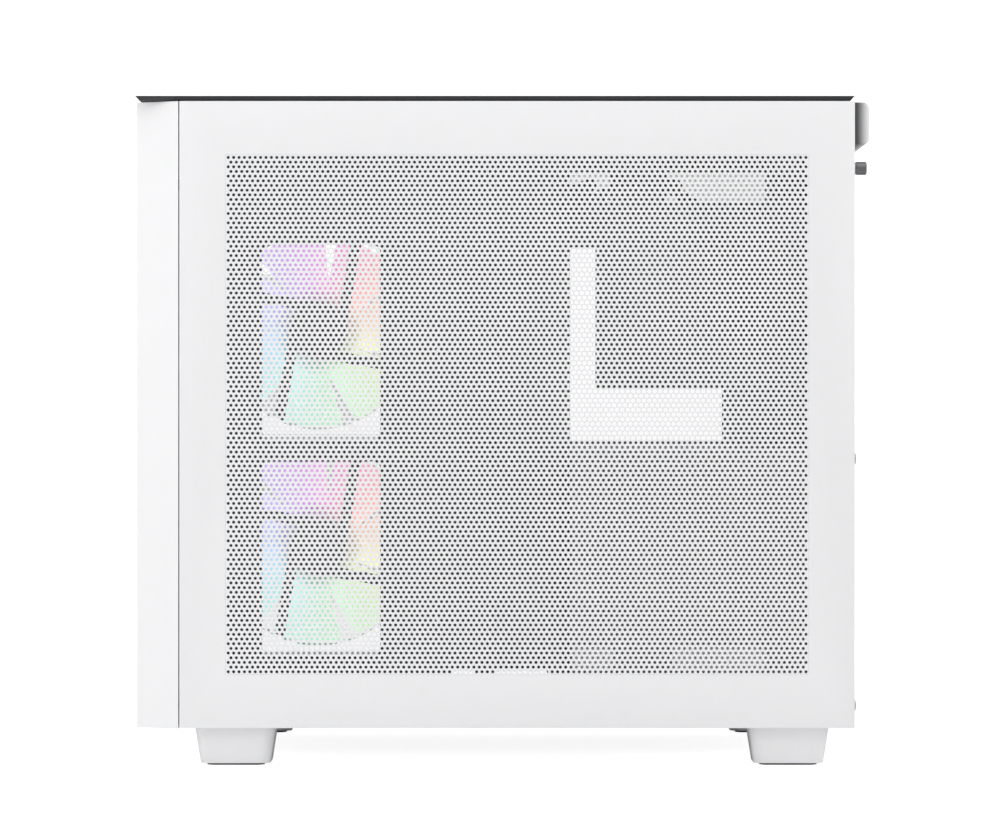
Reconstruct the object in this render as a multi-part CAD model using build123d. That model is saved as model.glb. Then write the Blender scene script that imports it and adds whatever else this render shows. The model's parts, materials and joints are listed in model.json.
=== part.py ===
from build123d import *
import math
import os

# Desktop computer tower with two chambers side by side: the computer behind a glass front and a glass
# side, and the power supply, drive and cables behind a perforated steel panel.
# Millimetres. +Z is up, -Y is the front, +X is the perforated side. The origin is on the ground,
# under the middle of the whole tower.

# ---- driving dimensions ----
width = 285.0
depth = 400.0
body_height = 352.0
foot_height = 21.0
grip_reach = 12.0
sheet = 1.2
skin_sheet = 1.0
glass = 4.0
seam = 0.6
lid_thickness = 2.8
lid_bevel = 2.5
lid_gap = 0.4
column_width = 92.5
column_depth = 24.0
column_facet = 11.0
column_wall = 2.4
flange = 10.0
cable_chamber = 89.5
floor_lift = 4.0
skirt_height = 13.0
frame_drop = 10.8
stud_radius = 2.5
stud_clearance = 0.1
tab_width = 16.0
tab_height = 24.0

foot_length = 45.0
foot_width = 40.0
foot_corner = 7.0
foot_draft = 8.7
foot_edge = 2.0
foot_inset = 6.0
front_foot_from_front = 55.0
rear_foot_from_rear = 36.0
pad_height = 2.2
pad_proud = 1.2

fan_size = 120.0
fan_depth = 25.0
fan_duct = 57.4
fan_tip = 55.9
fan_hub = 20.0
fan_bolt = 105.0
stator_radius = 16.0
blade_pitch = 27.0
blade_tip_pitch = 20.0
strut_width = 6.0
strut_thickness = 3.0
axle_radius = 1.5
axle_clearance = 0.05
side_fan_from_front = 97.5
side_fan_pitch = 125.0
side_fan_middle = 182.0
window_width = 68.0
window_height = 112.0
window_drop = 7.0

board_length = 226.0
board_height = 244.0
board_thickness = 1.6
board_top = 316.0
board_from_rear = 7.2
standoff = 6.35
socket_from_front = 287.0
socket_height = 236.0
slot_pitch = 20.32
card_slot_height = 145.0
card_length = 222.0
card_width = 100.0
card_drop = 41.0
card_fan = 42.0

supply_length = 155.0
supply_height = 150.0
supply_depth = 86.0
supply_wall = 1.0
supply_fan = 58.0
supply_lift = 0.8
label_spans = ((1.0, 23.0), (56.0, 108.0))
label_thickness = 0.2
drive_plate_length = 127.0
drive_plate_height = 98.0
drive_plate_from_front = 258.0
drive_plate_bottom = 211.5
drive_plate_standoff = 17.0
ssd_length = 100.0
ssd_width = 69.85
ssd_height = 7.0
cover_bar = 14.0
cover_foot = 29.4
cover_height = 110.0
cover_length = 86.5
cover_depth = 17.0
cover_wall = 2.0

power_radius = 7.0
power_travel = 1.6
power_from_top = 42.0
reset_radius = 2.5
reset_travel = 1.0
button_clearance = 0.3
button_length = 10.0
reset_length = 8.0
thumb_radius = 3.7
thumb_length = 6.0
thumb_from_top = 39.8
thumb_shaft = 1.5
thumb_collar = 3.4
thumb_gap = 0.4
grip_half = 102.0
grip_height = 24.0
filter_x = -27.0
filter_width = 134.0
rear_fan_x = -64.0
rear_fan_z = 250.0
fin_depth = 50.0
fin_gap_above_board = 43.0
fin_reach = 110.0
fin_pitch = 3.2
pipe_radius = 3.0
pipe_rows = (-15, -5, 5, 15)
pipe_spread = 38.0
usb_c_drop = 24.0
usb_drops = (44.0, 66.0)
audio_drop = 84.0
reset_drop = 98.0
jack_radius = 3.5
front_circuit_depth = 16.0
rocker_tilt = 9.0
rocker_depth = 5.0
top_slots = ((243, 266), (299, 356))
top_slot_z = (319.0, 336.0)
card_slot = ((176, 230), (30, 48))
lead_radius = 3.5

# ---- planes worked out from them ----
right = width / 2
left = -width / 2
front = -(depth + grip_reach) / 2
rear = front + depth
floor_z = foot_height
top_z = foot_height + body_height
lid_z = top_z - lid_thickness
rim_z = lid_z - lid_gap
plate_z = floor_z + floor_lift
plate_top = plate_z + sheet
frame_z = top_z - frame_drop
column_x = right - column_width
column_y = front + column_depth
chassis_right = right - skin_sheet - flange - 0.7
tray_x = right - cable_chamber
tray_face = tray_x - sheet
inner_rear = rear - sheet
glass_in = left + glass
stud_wall = left + 11.2
front_wall = front + 11.2
panel_top = rim_z + 0.1
panel_front = column_y + seam
board_back = tray_face - standoff
board_face = board_back - board_thickness
board_rear = rear - board_from_rear
board_front = board_rear - board_length
board_bottom = board_top - board_height
socket_y = front + socket_from_front
supply_x = tray_x + 0.6
supply_rear = rear - 2.6
supply_z = plate_top + supply_lift
supply_front = supply_rear - supply_length
cover_y = drive_plate_from_front + front - seam - cover_bar
cover_z = drive_plate_bottom - seam - cover_foot
plate_y = front + drive_plate_from_front
plate_x = tray_x + drive_plate_standoff
port_x = (column_x + right - column_facet) / 2
thumb_z = top_z - thumb_from_top
thumb_x = right - skin_sheet - flange - thumb_gap - thumb_shaft
stud_high = frame_z - 8.0
stud_low = plate_top + 18.0
rocker_y = supply_rear - rocker_depth
grip_top = top_z - 0.6
fin_x = (board_face - fin_gap_above_board - fin_reach, board_face - fin_gap_above_board)
stud_rows = (front + 60, rear - 60)
front_stud_columns = (left + 45, column_x - 35)
panel_stud_rows = (front + 60, supply_front - 20)
io_x = (board_face - 43.0, board_face + 1.4)
io_z = (board_top - 161.0, board_top - 2.3)
slot_heights = [card_slot_height - slot_pitch * index - 7 for index in range(4)]
slot_x = (board_face - 108.0, board_face - 4.0)
supply_opening_x = (supply_x + 11.0, supply_x + 67.0)
supply_opening_z = (supply_z + 11.0, supply_z + 139.0)
supply_screw_x = (supply_x + 7.0, supply_x + 71.0)
supply_screw_z = (supply_z + 6.0, supply_z + 144.0)
top_opening_x = (stud_wall + 14, tray_face - 26)
top_opening_y = (front + 50, rear - 50)
lid_studs = [(x, y) for x in (stud_wall + 7, chassis_right - 9) for y in (front + 42, rear - 24)]
socket_window_y = (cover_y + 5.0, cover_y + 93.0)
socket_window_z = (cover_z + 6.0, cover_z + 108.0)
power_z = top_z - power_from_top
usb_c_z = power_z - usb_c_drop
usb_heights = [power_z - drop for drop in usb_drops]
audio_z = power_z - audio_drop
reset_z = power_z - reset_drop
column_holes = (
    (power_z, power_radius + button_clearance),
    (reset_z, reset_radius + button_clearance),
    (audio_z, jack_radius + 0.1),
)
front_circuit_y = front + front_circuit_depth
glass_z = (floor_z + skirt_height + seam, rim_z - 0.2)
side_rails = ((stud_low - 6, stud_low + 6), (stud_high - 6, stud_high + 6))
foot_x = right - foot_inset - foot_width / 2
foot_places = [
    (x, y)
    for x in (foot_x, -foot_x)
    for y in (front + front_foot_from_front, rear - rear_foot_from_rear)
]
vent_x = sum(supply_opening_x) / 2
vent_z = supply_z + 97.0
inlet_x = supply_opening_x[0] + 17.0
inlet_z = supply_z + 32.0
rocker_x = supply_opening_x[1] - 10.5
board_hole_y = (board_front + 7, board_front + 70, board_rear - 12)
board_hole_z = (board_bottom + 7, board_bottom + 105, board_top - 9)
board_holes = [(y, z) for y in board_hole_y for z in board_hole_z]
main_header_z = (board_top - 110.0, board_top - 58.0)
processor_header_y = (board_rear - 68.0, board_rear - 48.0)
card_x = (board_face - 16 - card_width, board_face - 18)
card_y = (board_rear - 10 - card_length, board_rear - 14)
card_z = (card_slot_height - card_drop, card_slot_height - 3.0)
card_fan_y = (card_y[0] + 54.0, card_y[1] - 60.0)
card_fan_x = sum(card_x) / 2
base = (Align.CENTER, Align.CENTER, Align.MIN)


# ---- small shapes ----
def block(x, y, z):
    """Box between a low and a high plane on each axis."""
    spans = (x, y, z)
    centre = [(low + high) / 2 for low, high in spans]
    size = [high - low for low, high in spans]
    return Pos(*centre) * Box(*size)


def rod(start, direction, radius, length):
    """Cylinder that begins at start and runs along direction."""
    return Plane(origin=start, z_dir=direction) * Cylinder(radius, length, align=base)


def group(solids):
    """Separate solids kept together as one node."""
    return Compound([solid for part in solids for solid in part.solids()])


def fused(first, others):
    """One solid made of a first shape and the shapes joined to it."""
    whole = first
    for other in others:
        whole = whole + other
    return whole


def staggered(reach_u, reach_v, pitch, radius=None):
    """Centres of a staggered hole field, within a rectangle or, with a radius, within a circle too."""
    row_pitch = pitch * math.sqrt(3) / 2
    rows = int(reach_v / row_pitch)
    columns = int(reach_u / pitch) + 1
    points = []
    for row in range(-rows, rows + 1):
        for column in range(-columns, columns + 1):
            u = column * pitch + (pitch / 2 if row % 2 else 0)
            v = row * row_pitch
            if abs(u) <= reach_u and (radius is None or math.hypot(u, v) <= radius):
                points.append((u, v))
    return points


# ---- fans ----
side_fan_heights = (side_fan_middle + side_fan_pitch / 2, side_fan_middle - side_fan_pitch / 2)
side_fan_x = tray_face - fan_depth / 2
side_fan_planes = [
    Plane(origin=(side_fan_x, front + side_fan_from_front, z), x_dir=(0, 1, 0), z_dir=(1, 0, 0))
    for z in side_fan_heights
]
rear_fan_y = inner_rear - fan_depth / 2
rear_fan_plane = Plane(origin=(rear_fan_x, rear_fan_y, rear_fan_z), x_dir=(-1, 0, 0), z_dir=(0, 1, 0))
cooler_fan_plane = Plane(
    origin=(sum(fin_x) / 2, socket_y - fin_depth / 2 - 0.4 - fan_depth / 2, socket_height),
    x_dir=(-1, 0, 0),
    z_dir=(0, 1, 0),
)


def fan_frame():
    """Square fan frame with its four pinwheel struts, stator cup and axle; +Z is the strut side."""
    half = fan_depth / 2
    face = RectangleRounded(fan_size, fan_size, 6) - Circle(fan_duct)
    bolts = [Pos(u * fan_bolt / 2, v * fan_bolt / 2) * Circle(2.2) for u in (-1, 1) for v in (-1, 1)]
    body = Pos(0, 0, -half) * extrude(face - bolts, amount=fan_depth)
    offset = stator_radius - strut_width / 2
    reach = fan_duct + 1
    struts = []
    for turn in range(4):
        bar = Pos(reach / 2, -offset, half - strut_thickness / 2) * Box(reach, strut_width, strut_thickness)
        ring_trim = Pos(0, 0, half - strut_thickness / 2) * Cylinder(fan_duct + 0.6, strut_thickness)
        struts.append(Rot(0, 0, 80 + 90 * turn) * (bar & ring_trim))
    cup = Pos(0, 0, half - strut_thickness) * Cylinder(stator_radius, strut_thickness, align=base)
    axle = Pos(0, 0, -half + 6) * Cylinder(axle_radius, fan_depth - 6 - strut_thickness, align=base)
    return fused(body, struts + [cup, axle])


def rotor(tip, hub, low, high, count, bore_low):
    """Hub and pitched blades that turn about Z; a blind bore from the top takes the axle."""
    body = Pos(0, 0, low) * Cylinder(hub, high - low, align=base)
    middle = (low + high) / 2
    room = (high - low) - 1.6
    stations = ((hub - 2, 44, 0.0), ((hub + tip) / 2, blade_pitch, 3.0), (tip + 2, blade_tip_pitch, 8.0))
    sections = []
    for radius, pitch, sweep in stations:
        chord = (room - 1.6) / math.sin(math.radians(pitch))
        station = Plane(origin=(radius, 0, middle), x_dir=(0, 1, 0), z_dir=(1, 0, 0))
        sections.append(station * Pos(sweep, 0) * Rot(0, 0, pitch) * Rectangle(chord, 1.6))
    blade = loft(sections)
    blade = blade & (Pos(0, 0, low) * Cylinder(tip, high - low, align=base))
    blades = [Rot(0, 0, 360 / count * turn) * blade for turn in range(count)]
    bore = Pos(0, 0, bore_low) * Cylinder(axle_radius + axle_clearance, high - bore_low + 1, align=base)
    return fused(body, blades) - bore


def case_rotor():
    """Rotor of a 120 mm fan, in the fan's own frame."""
    half = fan_depth / 2
    return rotor(fan_tip, fan_hub, -half + 1.5, half - strut_thickness - 1.0, 7, -half + 5.9)


# ---- chassis ----
def floor_pan():
    """Raised floor with a skirt under each glass panel, stud tabs, vent slots and filter runners."""
    plate = block((left, chassis_right), (front, inner_rear), (plate_z, plate_top))
    side_skirt = block((left, left + sheet), (front, rear), (floor_z, floor_z + skirt_height))
    front_skirt = block((left, column_x - seam), (front, front + sheet), (floor_z, floor_z + skirt_height))
    pan = plate + side_skirt + front_skirt
    pan = pan - block((column_x - seam, right), (front - 1, column_y + seam), (floor_z - 1, plate_top + 1))
    slots = []
    for row in range(12):
        for column in range(2):
            y = front + 62 + 25 * row
            x = -88 + 66 * column
            slots.append(block((x, x + 56), (y, y + 7), (plate_z - 1, plate_top + 1)))
    pan = pan - slots
    for y in stud_rows:
        span = (y - tab_width / 2, y + tab_width / 2)
        tab = block((stud_wall, stud_wall + sheet), span, (plate_top, plate_top + tab_height))
        pan = pan + tab - rod((stud_wall - 1, y, stud_low), (1, 0, 0), stud_radius + stud_clearance, 4)
    for x in front_stud_columns:
        span = (x - tab_width / 2, x + tab_width / 2)
        tab = block(span, (front_wall, front_wall + sheet), (plate_top, plate_top + tab_height))
        pan = pan + tab - rod((x, front_wall - 1, stud_low), (0, 1, 0), stud_radius + stud_clearance, 4)
    for y in panel_stud_rows:
        tab = block(
            (chassis_right - sheet, chassis_right),
            (y - tab_width / 2, y + tab_width / 2),
            (plate_top, plate_top + tab_height),
        )
        pan = pan + tab - rod((chassis_right - 3, y, stud_low), (1, 0, 0), stud_radius + stud_clearance, 6)
    for side in (-1, 1):
        edge = filter_x + side * (filter_width / 2 + 0.5)
        lip = filter_x + side * (filter_width / 2 - 3)
        run = (front + 40, inner_rear - 1)
        web = block(sorted((edge, edge + side * sheet)), run, (floor_z + 0.2, plate_z))
        shelf = block(sorted((lip, edge + side * sheet)), run, (floor_z + 0.2, floor_z + 0.7))
        pan = pan + web + shelf
    return pan


def rear_panel():
    """Rear wall with the port, card, fan and supply openings and a stepped edge for the thumbscrew."""
    wall = block((glass_in + 0.8, chassis_right), (inner_rear, rear), (plate_z, rim_z))
    rise = (plate_top, frame_z)
    step = block((chassis_right - sheet, chassis_right), (supply_rear, rear), rise)
    strip = block((chassis_right - sheet, right - skin_sheet - 0.7), (supply_rear, rear - 1.4), rise)
    wall = wall + step + strip - grip_notch()
    cuts = [block(io_x, (inner_rear - 1, rear + 1), io_z)]
    for z in slot_heights:
        cuts.append(block(slot_x, (inner_rear - 1, rear + 1), (z - 6.5, z + 6.5)))
    cuts.append(block(supply_opening_x, (inner_rear - 1, rear + 1), supply_opening_z))
    for u, v in staggered(55, 55, 10.0, 54):
        hole = Plane(origin=(rear_fan_x + u, inner_rear - 1, rear_fan_z + v), z_dir=(0, 1, 0))
        cuts.append(hole * extrude(RegularPolygon(4.7, 6), amount=sheet + 2))
    for u in (-1, 1):
        for v in (-1, 1):
            place = (rear_fan_x + u * fan_bolt / 2, inner_rear - 1, rear_fan_z + v * fan_bolt / 2)
            cuts.append(rod(place, (0, 1, 0), 2.2, sheet + 2))
    for x in supply_screw_x:
        for z in supply_screw_z:
            cuts.append(rod((x, inner_rear - 1, z), (0, 1, 0), 1.9, sheet + 2))
    cuts.append(rod((thumb_x, supply_rear - 1, thumb_z), (0, 1, 0), thumb_shaft + axle_clearance, 4))
    return wall - cuts


def top_frame():
    """Open frame under the lid, with an upstand all round and drop flanges that take the panel studs."""
    outline = block((stud_wall, chassis_right), (front_wall, inner_rear), (frame_z, frame_z + sheet))
    shell = block((stud_wall, chassis_right), (front_wall, inner_rear), (frame_z + sheet, rim_z))
    core = block(
        (stud_wall + sheet, chassis_right - sheet),
        (front_wall + sheet, inner_rear - sheet),
        (frame_z + sheet, rim_z),
    )
    frame = outline + (shell - core)
    drop = (frame_z - 16, frame_z)
    frame = frame + block((stud_wall, stud_wall + sheet), (front_wall, inner_rear), drop)
    frame = frame + block((stud_wall, column_x - seam), (front_wall, front_wall + sheet), drop)
    frame = frame + block((chassis_right - sheet, chassis_right), (column_y + seam, supply_rear), drop)
    frame = frame - block(top_opening_x, top_opening_y, (frame_z - 1, frame_z + sheet + 1))
    frame = frame - block((column_x - seam, right), (front, column_y + seam), (frame_z - 20, rim_z + 1))
    hole = stud_radius + stud_clearance
    cuts = [rod((stud_wall - 1, y, stud_high), (1, 0, 0), hole, 4) for y in stud_rows]
    cuts += [rod((x, front_wall - 1, stud_high), (0, 1, 0), hole, 4) for x in front_stud_columns]
    cuts += [rod((chassis_right - 3, y, stud_high), (1, 0, 0), hole, 6) for y in panel_stud_rows]
    cuts += [rod((x, y, frame_z - 1), (0, 0, 1), hole, 4) for x, y in lid_studs]
    return frame - cuts - grip_notch()


def grip_notch():
    """Room for the pull grip's tongue in the edges that the lid closes on."""
    reach = grip_half - 11.5
    return block((-reach, reach), (inner_rear - sheet - 1, rear + 1), (lid_z - 2.2, rim_z + 1))


def motherboard_tray():
    """Wall between the chambers, with fan windows, the socket window, cable slots and tie holes."""
    span = (column_y + seam, inner_rear)
    tray = block((tray_face, tray_x), span, (plate_top, frame_z))
    through = (tray_face - 1, tray_x + 1)
    cuts = []
    for z in side_fan_heights:
        y = front + side_fan_from_front + 2
        low = z - window_drop - window_height / 2
        window = block(through, (y - window_width / 2, y + window_width / 2), (low, low + window_height))
        cuts.append(fillet(window.edges().filter_by(Axis.X), 4))
    cuts.append(block(through, socket_window_y, socket_window_z))
    for low, high in top_slots:
        cuts.append(block(through, (front + low, front + high), top_slot_z))
    card_slot_y, card_slot_z = card_slot
    cuts.append(block(through, (front + card_slot_y[0], front + card_slot_y[1]), card_slot_z))
    for y in (168, 223.7):
        for z in (301.7, 232.4, 145.8, 77.7):
            cuts.append(rod((tray_face - 1, front + y, z), (1, 0, 0), 2.2, sheet + 2))
    for index in range(9):
        y = supply_front + 22 + 14 * index
        cuts.append(block(through, (y, y + 6), (supply_z + 25, supply_z + 125)))
    return tray - cuts


def column_outline(inset):
    """Plan of the front column, moved in by a wall; its outer side tapers towards the front."""
    corners = [
        (column_x + inset, front + inset),
        (right - column_facet - inset, front + inset),
        (right - inset, column_y),
        (column_x + inset, column_y),
    ]
    return make_face(Polyline(*corners, close=True))


def front_column():
    """Moulded cover of the cable chamber's front, open behind, with the button and port holes."""
    outer = Pos(0, 0, floor_z) * extrude(column_outline(0), amount=rim_z - floor_z)
    inner = Pos(0, 0, floor_z + column_wall) * extrude(
        column_outline(column_wall) + block_face(), amount=rim_z - floor_z - 2 * column_wall
    )
    shell = outer - inner
    cuts = [rod((port_x, front - 1, z), (0, 1, 0), radius, column_wall + 2) for z, radius in column_holes]
    through = (front - 1, front + column_wall + 1)
    for z in usb_heights:
        cuts.append(block((port_x - 3.3, port_x + 3.3), through, (z - 6.9, z + 6.9)))
    cuts.append(block((port_x - 1.9, port_x + 1.9), through, (usb_c_z - 4.8, usb_c_z + 4.8)))
    return shell - cuts


def block_face():
    """Strip of plan behind the column that keeps its hollow open at the back."""
    low = column_x + column_wall
    high = right - column_wall
    return Pos((low + high) / 2, column_y + 1) * Rectangle(high - low, 2.2)


def button(radius, z, length):
    """Round push button with a wider foot behind the column's wall."""
    cap = rod((port_x, front + 0.2, z), (0, 1, 0), radius, length)
    cap = fillet(cap.edges().sort_by(Axis.Y)[0], 0.5)
    flange_ring = rod((port_x, front + column_wall + 0.4, z), (0, 1, 0), radius + 1.5, 1.5)
    return cap + flange_ring


def switch_block(z, reach, travel):
    """Tact switch on the front circuit board; its plunger stands just past the button's travel."""
    start = front + 0.2 + reach + travel + 0.3
    body = block((port_x - 3, port_x + 3), (start + 1, front_circuit_y), (z - 3, z + 3))
    return body + rod((port_x, start, z), (0, 1, 0), 1.6, 1.5)


def front_circuit():
    """Circuit board behind the front ports, with both button switches."""
    rise = (reset_z - 12, power_z + 12)
    board = block((port_x - 11, port_x + 11), (front_circuit_y, front_circuit_y + 1.6), rise)
    switches = [
        switch_block(power_z, button_length, power_travel),
        switch_block(reset_z, reset_length, reset_travel),
    ]
    post = block((port_x - 8, port_x + 8), (front_circuit_y + 1.6, column_y + 3), (power_z - 8, power_z - 2))
    return fused(board, switches + [post])


def usb_ports():
    """Metal shells of the front data ports, each open at the front with its tongue inside."""
    shells = []
    for z in usb_heights:
        shell = block((port_x - 3.2, port_x + 3.2), (front + 0.4, front_circuit_y), (z - 6.8, z + 6.8))
        room = block((port_x - 2.6, port_x + 2.6), (front, front_circuit_y - 1), (z - 6.2, z + 6.2))
        tongue = block((port_x + 0.2, port_x + 1.8), (front + 2, front_circuit_y - 0.5), (z - 5.4, z + 5.4))
        shells.append((shell - room) + tongue)
    run = (front + 0.4, front_circuit_y)
    shell = block((port_x - 1.8, port_x + 1.8), run, (usb_c_z - 4.7, usb_c_z + 4.7))
    shell = fillet(shell.edges().filter_by(Axis.Y), 1.5)
    room = block((port_x - 1.3, port_x + 1.3), (front, front_circuit_y - 1), (usb_c_z - 4.2, usb_c_z + 4.2))
    inside = (front + 1.5, front_circuit_y - 0.5)
    tongue = block((port_x - 0.35, port_x + 0.35), inside, (usb_c_z - 3.3, usb_c_z + 3.3))
    shells.append((shell - room) + tongue)
    return group(shells)


def audio_jack():
    """Round headset socket."""
    body = rod((port_x, front + 0.4, audio_z), (0, 1, 0), jack_radius, front_circuit_y - front - 0.4)
    return body - rod((port_x, front, audio_z), (0, 1, 0), 1.8, 12)


def foot(x, y):
    """Tapered moulded foot with a plug that reaches the raised floor."""
    plan = Pos(x, y, floor_z) * RectangleRounded(foot_width, foot_length, foot_corner)
    body = extrude(plan, amount=-(foot_height - pad_proud), taper=foot_draft)
    body = fillet(body.faces().sort_by(Axis.Z)[0].edges(), foot_edge)
    plug = block((x - 12, x + 12), (y - 14, y + 14), (floor_z, plate_z))
    pocket = Pos(x, y, pad_proud) * extrude(RectangleRounded(27, 32, 5), amount=pad_height - pad_proud)
    return body + plug - pocket


def foot_pad(x, y):
    """Rubber pad in the foot's pocket."""
    return Pos(x, y, 0) * extrude(RectangleRounded(27, 32, 5), amount=pad_height)


# ---- removable panels ----
def mesh_panel():
    """Folded steel side panel: flanges on its four edges and four snap studs inside."""
    y = (panel_front, rear)
    z = (floor_z + lid_gap, panel_top)
    pan = block((right - skin_sheet - flange, right), y, z)
    hollow = block(
        (right - skin_sheet - flange - 1, right - skin_sheet),
        (y[0] + skin_sheet, y[1] - skin_sheet),
        (z[0] + skin_sheet, z[1] - skin_sheet),
    )
    pan = pan - hollow
    length = right - skin_sheet - chassis_right + 5
    studs = [
        rod((right - skin_sheet, row, z_stud), (-1, 0, 0), stud_radius, length)
        for row in panel_stud_rows
        for z_stud in (stud_low, stud_high)
    ]
    return fused(pan, studs)


def side_glass():
    """Side pane."""
    pane = block((left, glass_in), (front, rear), glass_z)
    return chamfer(pane.faces().sort_by(Axis.X)[0].edges(), 0.4)


def side_glass_rails():
    """Steel strips bonded along the pane's top and bottom, each with two snap studs."""
    rails = []
    for z in side_rails:
        rail = block((glass_in, glass_in + 5), (front + 16, rear - 16), z)
        studs = [rod((glass_in + 5, y, sum(z) / 2), (1, 0, 0), stud_radius, 5) for y in stud_rows]
        rails.append(fused(rail, studs))
    return group(rails)


def front_glass():
    """Front pane, which stops inside the side pane's face."""
    pane = block((glass_in + seam, column_x - seam), (front, front + glass), glass_z)
    return chamfer(pane.faces().sort_by(Axis.Y)[0].edges(), 0.4)


def front_glass_rails():
    """Steel strips bonded along the front pane's top and bottom, each with two snap studs."""
    rails = []
    for z in side_rails:
        rail = block((left + 16, column_x - 6), (front + glass, front + glass + 5), z)
        middle = sum(z) / 2
        studs = [rod((x, front + glass + 5, middle), (0, 1, 0), stud_radius, 5) for x in front_stud_columns]
        rails.append(fused(rail, studs))
    return group(rails)


def top_panel():
    """Lid plate with an undercut bevel and vent slots."""
    plate = block((left, right), (front, rear), (lid_z, top_z))
    plate = chamfer(plate.faces().sort_by(Axis.Z)[0].edges(), lid_bevel, lid_bevel * 0.9)
    slots = []
    for row in range(24):
        for column in range(3):
            x = -104 + 46 * column
            y = front + 58 + 12 * row
            slots.append(block((x, x + 38), (y, y + 4), (lid_z - 1, top_z + 1)))
    return plate - slots


def top_panel_pegs():
    """Four snap pegs under the lid's corners."""
    return group([rod((x, y, lid_z), (0, 0, -1), stud_radius, 9) for x, y in lid_studs])


def top_filter():
    """Fine filter sheet held under the lid's slots."""
    return block((-110, 32), (front + 52, rear - 56), (lid_z - 0.8, lid_z))


def top_pull_grip():
    """Soft grip on the lid's rear edge, behind the rear wall."""
    grip = block((-grip_half, grip_half), (rear + 0.3, rear + grip_reach), (grip_top - grip_height, grip_top))
    grip = fillet(grip.edges().filter_by(Axis.X).group_by(Axis.Y)[-1], 4)
    ends = grip.faces().sort_by(Axis.X)
    grip = fillet(ends[0].edges() + ends[-1].edges(), 1.5)
    tongue = block((-grip_half + 12, grip_half - 12), (rear - 9, rear + 3), (lid_z - 1.6, lid_z))
    return grip + tongue


def bottom_filter():
    """Filter tray that slides out behind, under the raised floor."""
    y = (front + 45, rear - 0.5)
    x = (filter_x - filter_width / 2, filter_x + filter_width / 2)
    tray = block(x, y, (floor_z + 0.9, floor_z + 3.4))
    cells = []
    row_pitch = (y[1] - y[0] - 12) / 5
    for column in range(2):
        for row in range(5):
            low_x = x[0] + 6 + 64 * column
            low_y = y[0] + 6 + row_pitch * row
            span = (low_y, low_y + row_pitch - 5)
            cells.append(block((low_x, low_x + 58), span, (floor_z + 1.7, floor_z + 4)))
    return tray - cells


def thumbscrew():
    """Captive screw with a ribbed head; its collar laps over the side panel's rear flange."""
    z = thumb_z
    shaft = rod((thumb_x, supply_rear + 0.05, z), (0, 1, 0), thumb_shaft, rear - supply_rear + 1)
    collar = rod((thumb_x, rear + 0.15, z), (0, 1, 0), thumb_collar, 1.4)
    head = rod((thumb_x, rear + 1.5, z), (0, 1, 0), thumb_radius, thumb_length)
    head = chamfer(head.edges().filter_by(GeomType.CIRCLE), 0.5)
    grooves = []
    for index in range(20):
        angle = math.radians(18 * index)
        groove_x = thumb_x + thumb_radius * math.cos(angle)
        groove_z = z + thumb_radius * math.sin(angle)
        grooves.append(rod((groove_x, rear + 1.4, groove_z), (0, 1, 0), 0.3, thumb_length + 1))
    return (head - grooves) + collar + shaft


# ---- cable chamber ----
def cable_cover():
    """Moulded L-shaped cover that hides the wires beside and under the drive plate."""
    x = (tray_x, tray_x + cover_depth)
    upright = block(x, (cover_y, cover_y + cover_bar), (cover_z, cover_z + cover_height))
    foot_bar = block(x, (cover_y, cover_y + cover_length), (cover_z, cover_z + cover_foot))
    shell = upright + foot_bar
    inner_x = (tray_x - 1, tray_x + cover_depth - cover_wall)
    low_y = cover_y + cover_wall
    low_z = cover_z + cover_wall
    thick = 2 * cover_wall
    upright_room = block(inner_x, (low_y, low_y + cover_bar - thick), (low_z, low_z + cover_height - thick))
    foot_room = block(inner_x, (low_y, low_y + cover_length - thick), (low_z, low_z + cover_foot - thick))
    return shell - (upright_room + foot_room)


def drive_tray():
    """Bent steel plate on two legs, with a window over the drive behind it."""
    y = (plate_y, plate_y + drive_plate_length)
    z = (drive_plate_bottom, drive_plate_bottom + drive_plate_height)
    plate = block((plate_x - sheet, plate_x), y, z)
    for low in (z[0], z[1] - sheet):
        plate = plate + block((tray_x, plate_x), (y[0] + 20, y[1]), (low, low + sheet))
    middle_y = sum(y) / 2
    middle_z = sum(z) / 2
    through = (plate_x - 3, plate_x + 1)
    window = block(through, (middle_y - 43, middle_y + 43), (middle_z - 30, middle_z + 30))
    plate = plate - fillet(window.edges().filter_by(Axis.X), 3)
    cuts = []
    for u, v in ((-57, 43), (-3, 43), (57, 43), (-57, -43), (57, -43)):
        cuts.append(rod((plate_x - 3, middle_y + u, middle_z + v), (1, 0, 0), 1.9, 5))
    return plate - cuts


def solid_state_drive():
    """Slim drive screwed behind the plate's window."""
    y = plate_y + drive_plate_length / 2
    z = drive_plate_bottom + drive_plate_height / 2
    body = Pos(plate_x - sheet - ssd_height / 2, y, z) * Box(ssd_height, ssd_length, ssd_width)
    return fillet(body.edges().filter_by(Axis.X), 2.5)


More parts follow.
